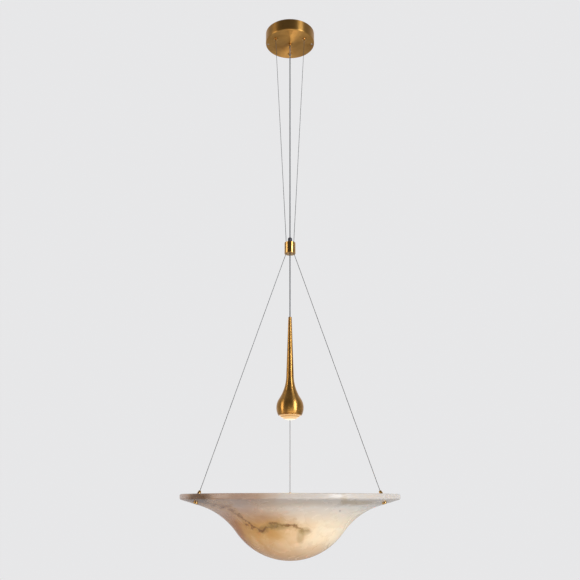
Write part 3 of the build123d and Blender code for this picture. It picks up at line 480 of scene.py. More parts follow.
stem_reach = stem_radius(SPOT_LENGTH - BULGE_HEIGHT) * cos(STEM_TAPER) + FLARE_ARC
share = (stem_reach - BULGE_X * cos(STEM_TAPER)) / (BULGE_ARC + FLARE_ARC)
flare_turn = atan2((1 - share**2) ** 0.5, share) + STEM_TAPER
flare_x = BULGE_X + (BULGE_ARC + FLARE_ARC) * cos(flare_turn)
flare_z = BULGE_LEVEL + (BULGE_ARC + FLARE_ARC) * sin(flare_turn)
print("spot: the flare turns", round(degrees(flare_turn), 1), "degrees into the bulge")

# %% Spot body, tip and bezel
BEZEL_TOP = SPOT_BOTTOM + 2.8
BODY_TOP = SPOT_TOP - TIP_LENGTH
foot_start_x = FOOT_X + FOOT_ARC * cos(radians(foot_angle(BEZEL_TOP)))
spot_body = lathe(
    "spot_shell", (1.9, BODY_TOP - 8.1),
    [(1.9, SPOT_TOP - 178.0), (5.0, SPOT_TOP - 178.0), (25.0, SPOT_TOP - 207.0), (25.0, BEZEL_TOP + 7.1),
     (27.95, BEZEL_TOP + 7.1), (27.95, BEZEL_TOP), (foot_start_x, BEZEL_TOP),
     (FOOT_X, BULGE_LEVEL, -foot_angle(BEZEL_TOP)), (BULGE_X, BULGE_LEVEL, degrees(flare_turn)),
     (flare_x, flare_z, -degrees(flare_turn - STEM_TAPER)), (stem_radius(TIP_LENGTH), BODY_TOP),
     (2.95, BODY_TOP), (2.95, BODY_TOP - 8.1), (1.9, BODY_TOP - 8.1)],
    turns=128, step=1.5,
)
soften(spot_body, 0.12)
stands_for(spot_body, "spot", "satin_brass", "spot_body")

spot_tip = lathe(
    "spot_tip", (1.8, SPOT_TOP),
    [(3.65, SPOT_TOP), (TIP_RADIUS, SPOT_TOP - 0.5), (stem_radius(TIP_LENGTH), BODY_TOP), (2.9, BODY_TOP),
     (2.9, BODY_TOP - 8.0), (1.6, BODY_TOP - 8.0), (1.6, SPOT_TOP - 2.5), (1.8, SPOT_TOP)],
    turns=64, edge=0.12,
)
stands_for(spot_tip, "spot", "satin_brass", "spot_tip_bush")

LENS_SEAT = SPOT_BOTTOM + 1.8
ring_start = foot_angle(SPOT_BOTTOM)
ring_end = foot_angle(BEZEL_TOP - 0.1)
spot_bezel = lathe(
    "spot_bezel_ring", (26.15, SPOT_BOTTOM),
    [(FOOT_X + FOOT_ARC * cos(radians(ring_start)), SPOT_BOTTOM),
     (FOOT_X, BULGE_LEVEL, ring_end - ring_start), (27.9, BEZEL_TOP - 0.1),
     (27.9, BEZEL_TOP + 7.0), (27.0, BEZEL_TOP + 7.0), (27.0, LENS_SEAT), (26.15, LENS_SEAT),
     (26.15, SPOT_BOTTOM)],
    turns=128, step=1.0, edge=0.12,
)
stands_for(spot_bezel, "spot", "satin_brass", "spot_bezel")

# %% [markdown]
# ## The lens
# The lens is a low dome of glass with a flange that the bezel traps. Its dome is one arc from the axis to
# the flange. The light engine stands behind it, and the lens glows brightest in the middle.

# %% Lens
DOME_RADIUS = 26.0
DOME_HEIGHT = 12.0
dome_base = SPOT_BOTTOM + 0.5
dome_sphere = (DOME_RADIUS**2 + DOME_HEIGHT**2) / (2 * DOME_HEIGHT)
dome_angle = degrees(atan2(DOME_RADIUS, dome_sphere - DOME_HEIGHT))
spot_lens = lathe(
    "spot_lens_dome", (0, dome_base - DOME_HEIGHT),
    [(0, dome_base - DOME_HEIGHT + dome_sphere, dome_angle), (DOME_RADIUS, LENS_SEAT),
     (26.9, LENS_SEAT), (26.9, SPOT_BOTTOM + 3.8), (0, SPOT_BOTTOM + 3.8)],
    turns=96,
)
soften(spot_lens, 0.1)
stands_for(spot_lens, "spot", "lens_glass", "spot_lens")

# %% [markdown]
# ## The shade
# The shade is one turned shell, 12 mm thick all over: a bowl that curves out into a flare and ends in a
# wide flat flange with a rounded lip. The inside follows the same two centres as the outside, a wall
# further in, so the wall stays even. The lip gets real arcs, since its highlight is the longest line in the
# picture.

# %% Shade
SHADE_RADIUS = 250.0
SHADE_DEPTH = 143.0
WALL = 12.0
FLANGE_SLOPE = radians(16.5)
SHADE_FLARE = 160.0
BOWL_RADIUS = 151.5
LIP_LAND = 3.3
TOP_ROUND = 3.0
BOTTOM_ROUND = 4.5
lip_height = WALL / cos(FLANGE_SLOPE) - LIP_LAND * tan(FLANGE_SLOPE)
bowl_centre = RIM_LEVEL - SHADE_DEPTH + BOWL_RADIUS
arcs_apart = BOWL_RADIUS + SHADE_FLARE
flange_line = SHADE_RADIUS * sin(FLANGE_SLOPE) + lip_height * cos(FLANGE_SLOPE)
share = ((bowl_centre - RIM_LEVEL) * cos(FLANGE_SLOPE) + SHADE_FLARE + flange_line) / arcs_apart
turn_over = FLANGE_SLOPE + atan2((1 - share**2) ** 0.5, share)
shade_flare_x = arcs_apart * sin(turn_over)
shade_flare_z = bowl_centre - arcs_apart * cos(turn_over)
print("shade: bowl meets flare at", round(degrees(turn_over), 1), "degrees")


def lip_arc(corner_angle, radius):
    """How far before a corner of this turn a round of this radius starts."""
    return radius * tan(corner_angle / 2)


low_cut = lip_arc(pi / 2 - FLANGE_SLOPE, BOTTOM_ROUND)
low_x = SHADE_RADIUS - low_cut * cos(FLANGE_SLOPE)
low_z = RIM_LEVEL - lip_height - low_cut * sin(FLANGE_SLOPE)
shade = lathe(
    "bowl_shade", (0, RIM_LEVEL - SHADE_DEPTH),
    [(0, bowl_centre, degrees(turn_over)),
     (shade_flare_x, shade_flare_z, -degrees(turn_over - FLANGE_SLOPE)),
     (low_x, low_z),
     (SHADE_RADIUS - BOTTOM_ROUND, RIM_LEVEL - lip_height + low_cut, degrees(pi / 2 - FLANGE_SLOPE)),
     (SHADE_RADIUS, RIM_LEVEL - TOP_ROUND),
     (SHADE_RADIUS - TOP_ROUND, RIM_LEVEL - TOP_ROUND, 90),
     (SHADE_RADIUS - LIP_LAND, RIM_LEVEL),
     (shade_flare_x - (SHADE_FLARE + WALL) * sin(FLANGE_SLOPE),
      shade_flare_z + (SHADE_FLARE + WALL) * cos(FLANGE_SLOPE)),
     (shade_flare_x, shade_flare_z, degrees(turn_over - FLANGE_SLOPE)),
     (0, bowl_centre, -degrees(turn_over))],
    turns=256, step=2.0,
)
stands_for(shade, "shade_hang", "veined_acrylic", "shade")

# %% [markdown]
# ## The rim's fittings
# Where a cable meets the flange there is a brass bush on a soft washer above, and a round button under it
# that is pressed onto the cable's end. They stand square to the cable, so each is turned upright first and
# then set on its cable by a matrix that leans outwards.

# %% Rim fittings
SEAT_TOP = 6.776
SEAT_BOTTOM = 17.601
BUSH_FOOT = SEAT_TOP - SEAT_BOTTOM + 0.3


def on_cable(angle, along):
    """The place on a cable this far below the rim's level, with its Z axis up the cable."""
    foot = on_circle(RIM_CIRCLE, angle, RIM_LEVEL)
    lean = Matrix.Rotation(radians(angle), 4, "Z") @ Matrix.Rotation(-LEAN, 4, "Y")
    return Matrix.Translation(foot) @ lean @ Matrix.Translation((0, 0, mm(-along)))


seats = [on_cable(angle, SEAT_TOP) for angle in CABLE_ANGLES.values()]
undersides = [on_cable(angle, SEAT_BOTTOM) for angle in CABLE_ANGLES.values()]
top_washers = lathe(
    "rim_upper_washers", (2.6, 0), [(6.6, 0), (6.6, 1.0), (2.6, 1.0), (2.6, 0)],
    turns=64, places=seats, edge=0.2,
)
stands_for(top_washers, "shade_hang", "soft_washer", "rim_top_washers")
rim_bushes = lathe(
    "rim_brass_bushes", (0.9, BUSH_FOOT),
    [(2.5, BUSH_FOOT), (2.5, 1.0), (6.2, 1.0), (6.2, 2.4), (4.6, 2.4), (4.6, 5.4), (2.9, 12.5), (2.2, 13.5),
     (0.9, 13.5), (0.9, BUSH_FOOT)],
    turns=64, places=seats, edge=0.35, edge_segments=3,
)
stands_for(rim_bushes, "shade_hang", "polished_brass", "rim_bushes")
bottom_washers = lathe(
    "rim_lower_washers", (2.8, -0.8), [(5.2, -0.8), (5.2, 0), (2.8, 0), (2.8, -0.8)],
    turns=64, places=undersides, edge=0.2,
)
stands_for(bottom_washers, "shade_hang", "soft_washer", "rim_bottom_washers")
cable_buttons = lathe(
    "rim_cable_buttons", (0, -5.0),
    [(3.3, -5.0), (3.3, -3.4, 90), (4.9, -0.8), (0.77, -0.8), (0.77, -4.0), (0, -4.0)],
    turns=64, places=undersides, step=15,
)
soften(cable_buttons, 0.15)
stands_for(cable_buttons, "shade_hang", "polished_brass", "cable_stops")

# %% [markdown]
# ## Finishes
# Effects that several finishes share are node groups: turning lines from a lathe, soft smudges, and fine
# grain. A group puts out only colours, masks and heights, and each material keeps its own shader. All the
# patterns read Object coordinates, so they have real sizes and stay with the surface.

# %% Helpers for node groups and materials
def wire(tree, source, target):
    """Links one socket to another."""
    tree.links.new(source, target)


def new_group(name, inputs, outputs):
    """A node group with named number inputs and named outputs."""
    group = bpy.data.node_groups.new(name, "ShaderNodeTree")
    for label, value in inputs.items():
        socket = group.interface.new_socket(label, in_out="INPUT", socket_type="NodeSocketFloat")
        socket.default_value = value
    for label, kind in outputs.items():
        group.interface.new_socket(label, in_out="OUTPUT", socket_type=kind)
    return group, group.nodes.new("NodeGroupInput"), group.nodes.new("NodeGroupOutput")


def calculate(tree, operation, first, second=None, third=None):
    """A Math node whose inputs are sockets or numbers."""
    node = tree.nodes.new("ShaderNodeMath")
    node.operation = operation
    for socket, value in zip(node.inputs, (first, second, third)):
        if value is None:
            continue
        if isinstance(value, (int, float)):
            socket.default_value = value
        else:
            wire(tree, value, socket)
    return node.outputs[0]


def noise(tree, vector, scale, detail=3.0, roughness=0.5, distortion=0.0):
    """A Noise Texture's value, at a scale in features per metre."""
    node = tree.nodes.new("ShaderNodeTexNoise")
    for label, value in (("Scale", scale), ("Detail", detail), ("Roughness", roughness),
                         ("Distortion", distortion)):
        if isinstance(value, (int, float)):
            node.inputs[label].default_value = value
        else:
            wire(tree, value, node.inputs[label])
    wire(tree, vector, node.inputs["Vector"])
    return node.outputs["Fac"]


def ramp(tree, factor, *stops):
    """A Color Ramp through stops of a place and a colour or a grey."""
    node = tree.nodes.new("ShaderNodeValToRGB")
    band = node.color_ramp
    while len(band.elements) < len(stops):
        band.elements.new(0.5)
    for element, (place, colour) in zip(band.elements, stops):
        element.position = place
        element.color = (colour, colour, colour, 1) if isinstance(colour, (int, float)) else (*colour, 1)
    wire(tree, factor, node.inputs["Fac"])
    return node.outputs["Color"]


def blend_colour(tree, factor, first, second, mode="MIX"):
    """A Mix node for colours, whose inputs are sockets or colours. Its colour sockets are 6 and 7."""
    node = tree.nodes.new("ShaderNodeMix")
    node.data_type = "RGBA"
    node.blend_type = mode
    for index, value in ((0, factor), (6, first), (7, second)):
        if isinstance(value, (int, float)):
            node.inputs[index].default_value = value
        elif isinstance(value, tuple):
            node.inputs[index].default_value = (*value, 1)
        else:
            wire(tree, value, node.inputs[index])
    return node.outputs[2]


def object_place(tree):
    """The place on the surface in Object coordinates."""
    return tree.nodes.new("ShaderNodeTexCoord").outputs["Object"]


def axis_parts(tree, vector):
    """A vector's x, y and z as three sockets."""
    node = tree.nodes.new("ShaderNodeSeparateXYZ")
    wire(tree, vector, node.inputs[0])
    return node.outputs


# %% Shared effects: turning lines, smudges and grain
turning, turning_in, turning_out = new_group(
    "turning_lines", {"Lines per metre": 2500.0}, {"Height": "NodeSocketFloat", "Mask": "NodeSocketFloat"}
)
turning_xyz = axis_parts(turning, object_place(turning))
across = calculate(turning, "MULTIPLY", turning_xyz[0], turning_xyz[0])
turning_radius = calculate(
    turning, "SQRT", calculate(turning, "MULTIPLY_ADD", turning_xyz[1], turning_xyz[1], across)
)
turning_line = turning.nodes.new("ShaderNodeCombineXYZ")
wire(turning, turning_radius, turning_line.inputs[0])
wire(turning, turning_xyz[2], turning_line.inputs[1])
wire(
    turning,
    noise(turning, turning_line.outputs[0], turning_in.outputs["Lines per metre"], detail=2.0),
    turning_out.inputs["Height"],
)
wire(
    turning,
    noise(turning, turning_line.outputs[0], calculate(turning, "MULTIPLY", turning_in.outputs[0], 0.1)),
    turning_out.inputs["Mask"],
)

smudges, smudges_in, smudges_out = new_group(
    "smudges", {"Spots per metre": 40.0}, {"Mask": "NodeSocketFloat", "Fine": "NodeSocketFloat"}
)
smudge_place = object_place(smudges)
soft_spots = noise(smudges, smudge_place, smudges_in.outputs[0], detail=5.0, distortion=0.6)
wire(smudges, ramp(smudges, soft_spots, (0.42, 0.0), (0.68, 1.0)), smudges_out.inputs["Mask"])
wire(
    smudges,
    noise(smudges, smudge_place, calculate(smudges, "MULTIPLY", smudges_in.outputs[0], 14.0), detail=2.0),
    smudges_out.inputs["Fine"],
)

grain, grain_in, grain_out = new_group("grain", {"Grains per metre": 3000.0}, {"Height": "NodeSocketFloat"})
wire(grain, noise(grain, object_place(grain), grain_in.outputs[0], detail=2.0), grain_out.inputs["Height"])
print("shared effects:", [group.name for group in bpy.data.node_groups])


# %% Helpers for materials
def new_finish(name, **values):
    """A material with its shader's plain values set on the shader's own sockets."""
    material = bpy.data.materials.new(name)
    material.use_nodes = True
    shader = material.node_tree.nodes["Principled BSDF"]
    for label, value in values.items():
        socket = shader.inputs[label.replace("_", " ")]
        socket.default_value = (*value, 1) if isinstance(value, tuple) else value
    return material, material.node_tree, shader


def effect(tree, group, value):
    """Places a shared effect with its own scale."""
    node = tree.nodes.new("ShaderNodeGroup")
    node.node_tree = group
    node.inputs[0].default_value = value
    return node.outputs


def raise_surface(tree, shader, height, distance):
    """Feeds a height to the shader's normal through a Bump node."""
    bump = tree.nodes.new("ShaderNodeBump")
    bump.inputs["Distance"].default_value = distance
    bump.inputs["Strength"].default_value = 1.0
    wire(tree, height, bump.inputs["Height"])
    wire(tree, bump.outputs[0], shader.inputs["Normal"])


finishes = {}

# %% [markdown]
# ## Brass
# The canopy and the spot are satin: fine turning lines run round them and spread the light across the
# lines, which an anisotropic shader with a tangent round the axis does for the whole surface at once. The
# collar and the small fittings are polished, so only faint lines and smudges break their reflection.
# Handling darkens brass in soft patches, so a little of the darker tone is mixed in.

# %% Brass
LINE_DEPTH = 0.000001


def brass(name, light, dark, roughness, anisotropy, spots, lines_dark):
    """Turned brass: spots is smudges per metre, lines_dark is how much the lines darken."""
    material, tree, shader = new_finish(
        name, Metallic=1.0, Roughness=roughness, Anisotropic=anisotropy, Anisotropic_Rotation=0.25
    )
    marks = effect(tree, smudges, spots)
    lines = effect(tree, turning, 2600.0)
    tone = blend_colour(tree, marks["Mask"], light, dark)
    tone = blend_colour(tree, calculate(tree, "MULTIPLY", lines["Mask"], lines_dark), tone, dark)
    wire(tree, tone, shader.inputs["Base Color"])
    rough = calculate(tree, "MULTIPLY_ADD", marks["Fine"], 0.06, roughness - 0.03)
    rough = calculate(tree, "MULTIPLY_ADD", marks["Mask"], 0.04, rough)
    wire(tree, rough, shader.inputs["Roughness"])
    raise_surface(tree, shader, lines["Height"], LINE_DEPTH)
    if anisotropy:
        tangent = tree.nodes.new("ShaderNodeTangent")
        tangent.direction_type = "RADIAL"
        tangent.axis = "Z"
        wire(tree, tangent.outputs[0], shader.inputs["Tangent"])
    return material


finishes["satin_brass"] = brass(
    "satin_brass", (0.52, 0.275, 0.072), (0.38, 0.185, 0.042), 0.34, 0.8, 26.0, 0.25
)
finishes["polished_brass"] = brass(
    "polished_brass", (0.64, 0.38, 0.13), (0.50, 0.27, 0.075), 0.18, 0.0, 90.0, 0.2
)

# %% Steel and aluminium
def bare_metal(name, light, dark, roughness, spots, line_depth=0.0):
    """Metal with smudges, and with turning lines where a depth is given."""
    material, tree, shader = new_finish(name, Metallic=1.0, Roughness=roughness)
    marks = effect(tree, smudges, spots)
    wire(tree, blend_colour(tree, marks["Mask"], light, dark), shader.inputs["Base Color"])
    rough = calculate(tree, "MULTIPLY_ADD", marks["Fine"], 0.14, roughness - 0.07)
    wire(tree, rough, shader.inputs["Roughness"])
    if line_depth:
        raise_surface(tree, shader, effect(tree, turning, 1800.0)["Height"], line_depth)
    return material


METALS = {
    "screw_steel": ((0.52, 0.51, 0.49), (0.36, 0.35, 0.33), 0.26, 300.0, 0.000004),
    "plate_steel": ((0.66, 0.67, 0.68), (0.52, 0.54, 0.57), 0.38, 120.0),
    "steel_cable": ((0.20, 0.20, 0.205), (0.13, 0.13, 0.135), 0.5, 500.0),
    "cast_aluminium": ((0.76, 0.77, 0.78), (0.62, 0.63, 0.65), 0.4, 80.0, 0.00001),
    "reflector_metal": ((0.88, 0.88, 0.87), (0.8, 0.8, 0.79), 0.12, 60.0),
}
for name, recipe in METALS.items():
    finishes[name] = bare_metal(name, *recipe)
print("metals:", list(METALS))

# %% Plastics, sheath and washers
def moulded(name, light, dark, roughness, grains, depth):
    """Plastic or rubber with a fine moulded grain of this many grains per metre."""
    material, tree, shader = new_finish(name, Roughness=roughness)
    marks = effect(tree, smudges, 50.0)
    wire(tree, blend_colour(tree, marks["Mask"], light, dark), shader.inputs["Base Color"])
    rough = calculate(tree, "MULTIPLY_ADD", marks["Fine"], 0.12, roughness - 0.06)
    wire(tree, rough, shader.inputs["Roughness"])
    raise_surface(tree, shader, effect(tree, grain, grains)["Height"], depth)
    return material


PLASTICS = {
    "cord_sheath": ((0.15, 0.15, 0.155), (0.11, 0.11, 0.115), 0.45, 2500.0, 0.00002),
    "wire_insulation": ((0.60, 0.08, 0.05), (0.50, 0.05, 0.03), 0.35, 2500.0, 0.00001),
    "white_plastic": ((0.84, 0.84, 0.82), (0.78, 0.78, 0.75), 0.45, 2200.0, 0.00003),
    "gland_plastic": ((0.055, 0.05, 0.06), (0.03, 0.03, 0.035), 0.42, 3000.0, 0.00003),
    "soft_washer": ((0.66, 0.62, 0.54), (0.56, 0.52, 0.45), 0.6, 2600.0, 0.00003),
}
for name, recipe in PLASTICS.items():
    finishes[name] = moulded(name, *recipe)
print("plastics:", list(PLASTICS))

# %% [markdown]
# ## The lens and the light engine
# The glass glows: white-hot in the middle and golden in rings towards the bezel, because the reflector
# behind it shows through the dome as bands. The rings are a colour ramp on the distance from the light's
# axis, and the glow's strength is a plain number on the shader.

# %% Lens and chip
RINGS_REACH = 27.0
lens_glass, tree, shader = new_finish(
    "lens_glass", Roughness=0.12, IOR=1.5, Emission_Strength=0.95, Base_Color=(0.10, 0.07, 0.035)
)
lens_xyz = axis_parts(tree, object_place(tree))
lens_across = calculate(tree, "MULTIPLY", lens_xyz[0], lens_xyz[0])
lens_radius = calculate(tree, "SQRT", calculate(tree, "MULTIPLY_ADD", lens_xyz[1], lens_xyz[1], lens_across))
lens_share = calculate(tree, "DIVIDE", lens_radius, mm(RINGS_REACH))
rings = ramp(
    tree, lens_share, (0.0, (1.0, 0.95, 0.82)), (0.42, (1.0, 0.86, 0.60)), (0.58, (0.72, 0.40, 0.15)),
    (0.70, (0.98, 0.70, 0.38)), (0.80, (0.42, 0.20, 0.06)), (0.90, (0.85, 0.54, 0.25)),
    (1.0, (0.24, 0.10, 0.03)),
)
wire(tree, rings, shader.inputs["Emission Color"])
frost = effect(tree, grain, 1500.0)
raise_surface(tree, shader, frost["Height"], 0.00002)
finishes["lens_glass"] = lens_glass

led_phosphor, tree, shader = new_finish("led_phosphor", Roughness=0.5, Emission_Strength=1.5)
powder = effect(tree, grain, 2500.0)
phosphor = ramp(tree, powder["Height"], (0.35, (1.0, 0.66, 0.20)), (0.65, (1.0, 0.85, 0.45)))
wire(tree, phosphor, shader.inputs["Base Color"])
wire(tree, phosphor, shader.inputs["Emission Color"])
finishes["led_phosphor"] = led_phosphor

# %% [markdown]
# ## The shade's veined acrylic
# The shade looks like alabaster: milky, with a few brown veins. Its tan on the left that turns to peach and
# cream on the right is partly the stone's own tone and partly painted light, the glow on the centre-right.
# The tones are one ramp across the shade, bent by clouds of noise. A cooler, greyer tone towards the rim is
# painted light, and the darker, warmer foot and a darker band on the lip and under the flange are painted
# shade. Most veins are thin wandering lines where a bent noise passes through one level. The main vein is
# drawn instead, because it has to run down from the left rim and then level across the front: a curve
# gives its height at each place across, and a little noise makes it waver.

# %% Veined acrylic: clouds, tones and painted light
veined, tree, shader = new_finish(
    "veined_acrylic", Roughness=0.28, Subsurface_Weight=0.2, Subsurface_Scale=0.015, Coat_Weight=0.08,
    Coat_Roughness=0.12, Specular_IOR_Level=0.4,
)
shader.inputs["Subsurface Radius"].default_value = (1.0, 0.75, 0.5)
place = object_place(tree)
shade_xyz = axis_parts(tree, place)
below_rim = calculate(tree, "ADD", shade_xyz[2], mm(-RIM_LEVEL))
clouds = noise(tree, place, 6.0, detail=4.0, roughness=0.55, distortion=1.0)
fine_clouds = noise(tree, place, 24.0, detail=5.0, roughness=0.6, distortion=0.6)
# Tan on the left to cream on the right: partly the stone's own tone, partly painted light, the glow on the
# centre-right.
across = calculate(tree, "MULTIPLY_ADD", shade_xyz[0], 4.4, 0.05)
tone = calculate(tree, "MULTIPLY_ADD", clouds, 0.9, across)
stone_and_painted_light = ramp(
    tree, tone, (0.02, (0.44, 0.17, 0.025)), (0.28, (0.66, 0.37, 0.12)), (0.52, (0.92, 0.68, 0.42)),
    (0.85, (0.95, 0.80, 0.58)),
)
soft_shift = ramp(tree, fine_clouds, (0.3, (0.86, 0.78, 0.68)), (0.7, (1.0, 0.99, 0.97)))
stone_and_painted_light = blend_colour(tree, 0.5, stone_and_painted_light, soft_shift, "MULTIPLY")
rise = calculate(tree, "MULTIPLY_ADD", below_rim, 1 / mm(SHADE_DEPTH), 1.0)
# Painted light: a cooler, greyer tone towards the rim, away from the warm glow lower in the bowl.
painted_cool_light_height = ramp(tree, rise, (0.56, 0.0), (0.84, 0.85))
painted_cool_light = calculate(tree, "MULTIPLY", painted_cool_light_height, ramp(tree, tone, (0.1, 0.5), (0.4, 1.0)))
stone_and_painted_light = blend_colour(tree, painted_cool_light, stone_and_painted_light, (0.76, 0.71, 0.65))
# Painted shade: the foot darker and warmer, and a darker grey band on the lip and under the flange.
painted_foot_and_lip_shade = ramp(
    tree, rise, (0.0, (0.70, 0.50, 0.30)), (0.34, (1.0, 1.0, 1.0)), (0.80, (1.0, 1.0, 1.0)),
    (0.86, (0.74, 0.69, 0.63)), (0.91, (0.68, 0.66, 0.66)),
)
stone_and_painted_light = blend_colour(tree, 1.0, stone_and_painted_light, painted_foot_and_lip_shade, "MULTIPLY")


# %% Veined acrylic: veins and stains
def vein_mask(scale, width, distortion, detail=3.0):
    """A thin wandering line where a bent noise passes through its middle value."""
    field = noise(tree, place, scale, detail=detail, roughness=0.5, distortion=distortion)
    away = calculate(tree, "ABSOLUTE", calculate(tree, "SUBTRACT", field, 0.5))
    return ramp(tree, away, (0.0, 1.0), (width, 0.0))


def stain(x, depth, wide, high):
    """A soft round patch on the shade's front, at a place across and below the rim in millimetres."""
    dx = calculate(tree, "MULTIPLY_ADD", shade_xyz[0], 1 / mm(wide), -x / wide)
    dz = calculate(tree, "MULTIPLY_ADD", below_rim, 1 / mm(high), depth / high)
    apart = calculate(tree, "MULTIPLY_ADD", dx, dx, calculate(tree, "MULTIPLY", dz, dz))
    ragged = calculate(tree, "MULTIPLY_ADD", fine_clouds, 1.6, calculate(tree, "ADD", apart, -0.8))
    return calculate(tree, "MULTIPLY", ramp(tree, ragged, (0.1, 1.0), (1.0, 0.0)), front)


front = ramp(tree, calculate(tree, "MULTIPLY_ADD", shade_xyz[1], 10.0, 0.6), (0.3, 1.0), (0.6, 0.0))
fine_veins = vein_mask(7.0, 0.008, 1.4)
patches = ramp(tree, noise(tree, place, 4.0, detail=2.0), (0.48, 0.0), (0.62, 1.0))
fine_amount = calculate(tree, "MULTIPLY", calculate(tree, "MULTIPLY", fine_veins, patches), 0.55)
stone_and_painted_light = blend_colour(tree, fine_amount, stone_and_painted_light, (0.46, 0.26, 0.07))

VEIN_LEFT = -220
VEIN_WIDTH = 280
VEIN_DEPTH = 90
main_vein = ((-216, 0), (-207, 13), (-172, 21), (-133, 26), (-114, 39), (-97, 54), (-74, 70), (-61, 77),
             (-48, 66), (-15, 63), (10, 65), (26, 74), (45, 78))
vein_curve = tree.nodes.new("ShaderNodeFloatCurve")
line = vein_curve.mapping.curves[0]
for x, depth in main_vein[1:-1]:
    line.points.new((x - VEIN_LEFT) / VEIN_WIDTH, 1 - depth / VEIN_DEPTH)
for point, (x, depth) in zip((line.points[0], line.points[-1]), (main_vein[0], main_vein[-1])):
    point.location = ((x - VEIN_LEFT) / VEIN_WIDTH, 1 - depth / VEIN_DEPTH)
vein_curve.mapping.update()
waver = noise(tree, place, 60.0, detail=5.0, roughness=0.65)
along = calculate(tree, "MULTIPLY_ADD", shade_xyz[0], 1 / mm(VEIN_WIDTH), -VEIN_LEFT / VEIN_WIDTH)
along = calculate(tree, "ADD", along, calculate(tree, "MULTIPLY_ADD", waver, 0.10, -0.05))
wire(tree, along, vein_curve.inputs["Value"])
level = calculate(tree, "MULTIPLY_ADD", below_rim, 1 / mm(VEIN_DEPTH), 1.0)
level = calculate(tree, "ADD", level, calculate(tree, "MULTIPLY_ADD", waver, 0.42, -0.21))
away = calculate(tree, "ABSOLUTE", calculate(tree, "SUBTRACT", level, vein_curve.outputs[0]))
vein_end = calculate(tree, "MULTIPLY", ramp(tree, along, (0.85, 1.0), (0.96, 0.0)), front)
strength = ramp(tree, noise(tree, place, 22.0, detail=3.0), (0.34, 0.5), (0.5, 1.0))
core = calculate(tree, "MULTIPLY", ramp(tree, away, (0.01, 1.0), (0.045, 0.0)), strength)
halo = calculate(tree, "MULTIPLY", ramp(tree, away, (0.0, 1.0), (0.16, 0.0)), 0.6)
stone_and_painted_light = blend_colour(tree, calculate(tree, "MULTIPLY", halo, vein_end), stone_and_painted_light, (0.50, 0.25, 0.05))
core = calculate(tree, "MULTIPLY", calculate(tree, "MULTIPLY", core, vein_end), 0.92)
stone_and_painted_light = blend_colour(tree, core, stone_and_painted_light, (0.21, 0.07, 0.012))
BROWN = (0.11, 0.055, 0.022)
OLIVE = (0.34, 0.22, 0.07)
stains = ((-190, 8, 34, 16, 0.85, BROWN), (140, 18, 46, 6, 0.5, OLIVE), (-58, 74, 16, 9, 0.35, BROWN),
          (-30, 66, 32, 9, 0.6, OLIVE), (22, 88, 9, 20, 0.45, OLIVE), (32, 76, 14, 9, 0.4, OLIVE),
          (107, 12, 10, 14, 0.4, OLIVE), (104, 35, 3, 3, 0.7, BROWN))
for x, depth, wide, high, amount, colour in stains:
    covered = calculate(tree, "MULTIPLY", stain(x, depth, wide, high), amount)
    stone_and_painted_light = blend_colour(tree, covered, stone_and_painted_light, colour)
wire(tree, stone_and_painted_light, shader.inputs["Base Color"])
wire(tree, calculate(tree, "MULTIPLY_ADD", fine_clouds, 0.14, 0.2), shader.inputs["Roughness"])
raise_surface(tree, shader, fine_clouds, 0.0001)
finishes["veined_acrylic"] = veined
print("finishes:", sorted(finishes))


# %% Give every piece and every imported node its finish
def wear(piece, slot):
    """Gives a piece its finish as its only material."""
    piece.data.materials.clear()
    piece.data.materials.append(finishes[slot])


node_slots = {part["node"]: part["material_slot"] for part in frame["record"]["subparts"]}
for node, part in frame["nodes"].items():
    wear(part, node_slots[node])
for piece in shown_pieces():
    slot = piece.get("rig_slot")
    if slot:
        wear(piece, slot)
for cable in cables:
    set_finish(cable, "steel_cable")
    wear(cable, "steel_cable")
for cord in power_cords:
    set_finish(cord, "cord_sheath")
    wear(cord, "cord_sheath")

# %% [markdown]
# ## The stage
# A plain pale floor lies well below the shade. It has most of the backdrop's tone where the camera sees it,
# and keeps some of its own shadow. The world is the same pale tone where the camera sees it. A reflection
# sees it too, but it turns darker towards the front, like the dim end of a studio behind the camera, so
# that the brass keeps its depth. Two tall soft lamps stand at the right and the left, where they draw
# upright highlights on the round brass, and a wide weak one lights the shade from below. A narrow spotlight
# from below draws the bright sectors on the canopy's turned underside, and a small warm lamp just under the
# lens lights the bowl.

# %% Floor
FLOOR_LEVEL = -2.4
FLOOR_SIZE = 8.0
floor_mesh = bmesh.new()
bmesh.ops.create_grid(floor_mesh, x_segments=1, y_segments=1, size=FLOOR_SIZE)
bmesh.ops.translate(floor_mesh, verts=floor_mesh.verts, vec=(0, 0, FLOOR_LEVEL))
floor = as_object("floor", floor_mesh, smooth=False)
floor_paint, tree, shader = new_finish("floor_paint", Roughness=0.8, Base_Color=(0.66, 0.66, 0.67))
floor.data.materials.append(floor_paint)
PALE = (0.80, 0.80, 0.81)
rays = tree.nodes.new("ShaderNodeLightPath").outputs
plain = calculate(tree, "MAXIMUM", rays["Is Camera Ray"], rays["Is Transmission Ray"])
seen = calculate(tree, "MULTIPLY_ADD", rays["Is Glossy Ray"], 0.2, calculate(tree, "MULTIPLY", plain, 0.75))
glow = tree.nodes.new("ShaderNodeEmission")
glow.inputs["Color"].default_value = (*PALE, 1)
floor_mix = tree.nodes.new("ShaderNodeMixShader")
wire(tree, seen, floor_mix.inputs[0])
wire(tree, shader.outputs[0], floor_mix.inputs[1])
wire(tree, glow.outputs[0], floor_mix.inputs[2])
wire(tree, floor_mix.outputs[0], tree.nodes["Material Output"].inputs["Surface"])
print("floor at", FLOOR_LEVEL, "m")

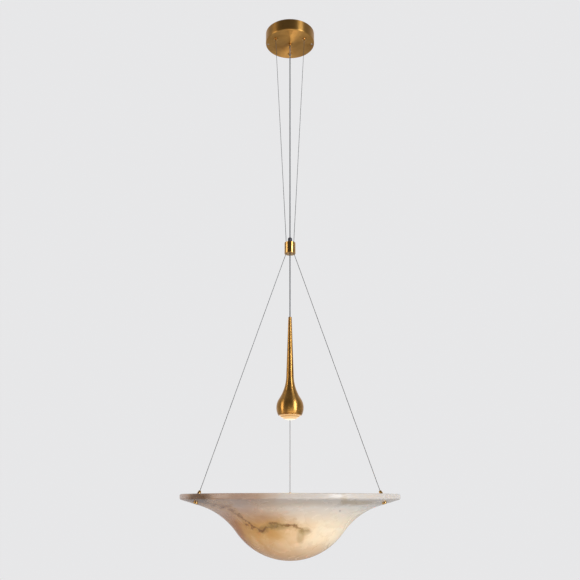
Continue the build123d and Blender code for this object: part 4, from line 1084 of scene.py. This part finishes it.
# %% World
world = bpy.data.worlds.new("studio")
scene.world = world
world.use_nodes = True
tree = world.node_tree
tree.nodes.clear()
rays = tree.nodes.new("ShaderNodeLightPath").outputs
plain = calculate(tree, "MAXIMUM", rays["Is Camera Ray"], rays["Is Transmission Ray"])
seen = calculate(tree, "MAXIMUM", plain, rays["Is Glossy Ray"])
towards_back = calculate(tree, "MULTIPLY_ADD", axis_parts(tree, object_place(tree))[1], 0.5, 0.5)
studio = ramp(tree, towards_back, (0.12, (0.08, 0.08, 0.085)), (0.5, (0.26, 0.26, 0.27)), (0.92, PALE))
soft_light = tree.nodes.new("ShaderNodeBackground")
soft_light.inputs["Color"].default_value = (0.92, 0.95, 1.0, 1)
soft_light.inputs["Strength"].default_value = 0.55
backdrop = tree.nodes.new("ShaderNodeBackground")
wire(tree, blend_colour(tree, plain, studio, PALE), backdrop.inputs["Color"])
backdrop.inputs["Strength"].default_value = 1.0
choice = tree.nodes.new("ShaderNodeMixShader")
wire(tree, seen, choice.inputs[0])
wire(tree, soft_light.outputs[0], choice.inputs[1])
wire(tree, backdrop.outputs[0], choice.inputs[2])
world_output = tree.nodes.new("ShaderNodeOutputWorld")
wire(tree, choice.outputs[0], world_output.inputs[0])

# %% Lamps
def soft_lamp(name, place, aim, width, height, power, colour):
    """A lamp of this width and height at a place, turned to face its aim."""
    data = bpy.data.lights.new(name, "AREA")
    data.shape = "RECTANGLE"
    data.size = width
    data.size_y = height
    data.energy = power
    data.color = colour
    lamp = bpy.data.objects.new(name, data)
    lamp.location = place
    lamp.rotation_euler = (Vector(aim) - Vector(place)).to_track_quat("-Z", "Y").to_euler()
    scene.collection.objects.link(lamp)


object_middle = (0, 0, -0.9)
soft_lamp("right_window", (1.87, -1.8, -0.6), object_middle, 0.8, 2.4, 56, (0.90, 0.95, 1.0))
soft_lamp("left_fill", (-2.44, -0.9, -0.7), object_middle, 0.8, 2.4, 22, (1.0, 0.90, 0.78))
soft_lamp("low_fill", (0.3, -1.9, -2.25), (0, 0, -1.2), 2.2, 1.0, 14, (1.0, 0.97, 0.93))
canopy_light = bpy.data.lights.new("canopy_light", "SPOT")
canopy_light.energy = 9
canopy_light.color = (1.0, 0.92, 0.80)
canopy_light.spot_size = radians(6)
canopy_light.spot_blend = 0.5
canopy_light.shadow_soft_size = 0.06
canopy_lamp = bpy.data.objects.new("canopy_light", canopy_light)
canopy_lamp.location = (0.1, 1.15, -1.64)
canopy_lamp.rotation_euler = (-canopy_lamp.location).to_track_quat("-Z", "Y").to_euler()
scene.collection.objects.link(canopy_lamp)
soft_lamp("spot_light", (0, 0, -1.064), (0, 0, -1.4), 0.045, 0.045, 0.5, (1.0, 0.74, 0.42))
scene.view_settings.view_transform = "Standard"
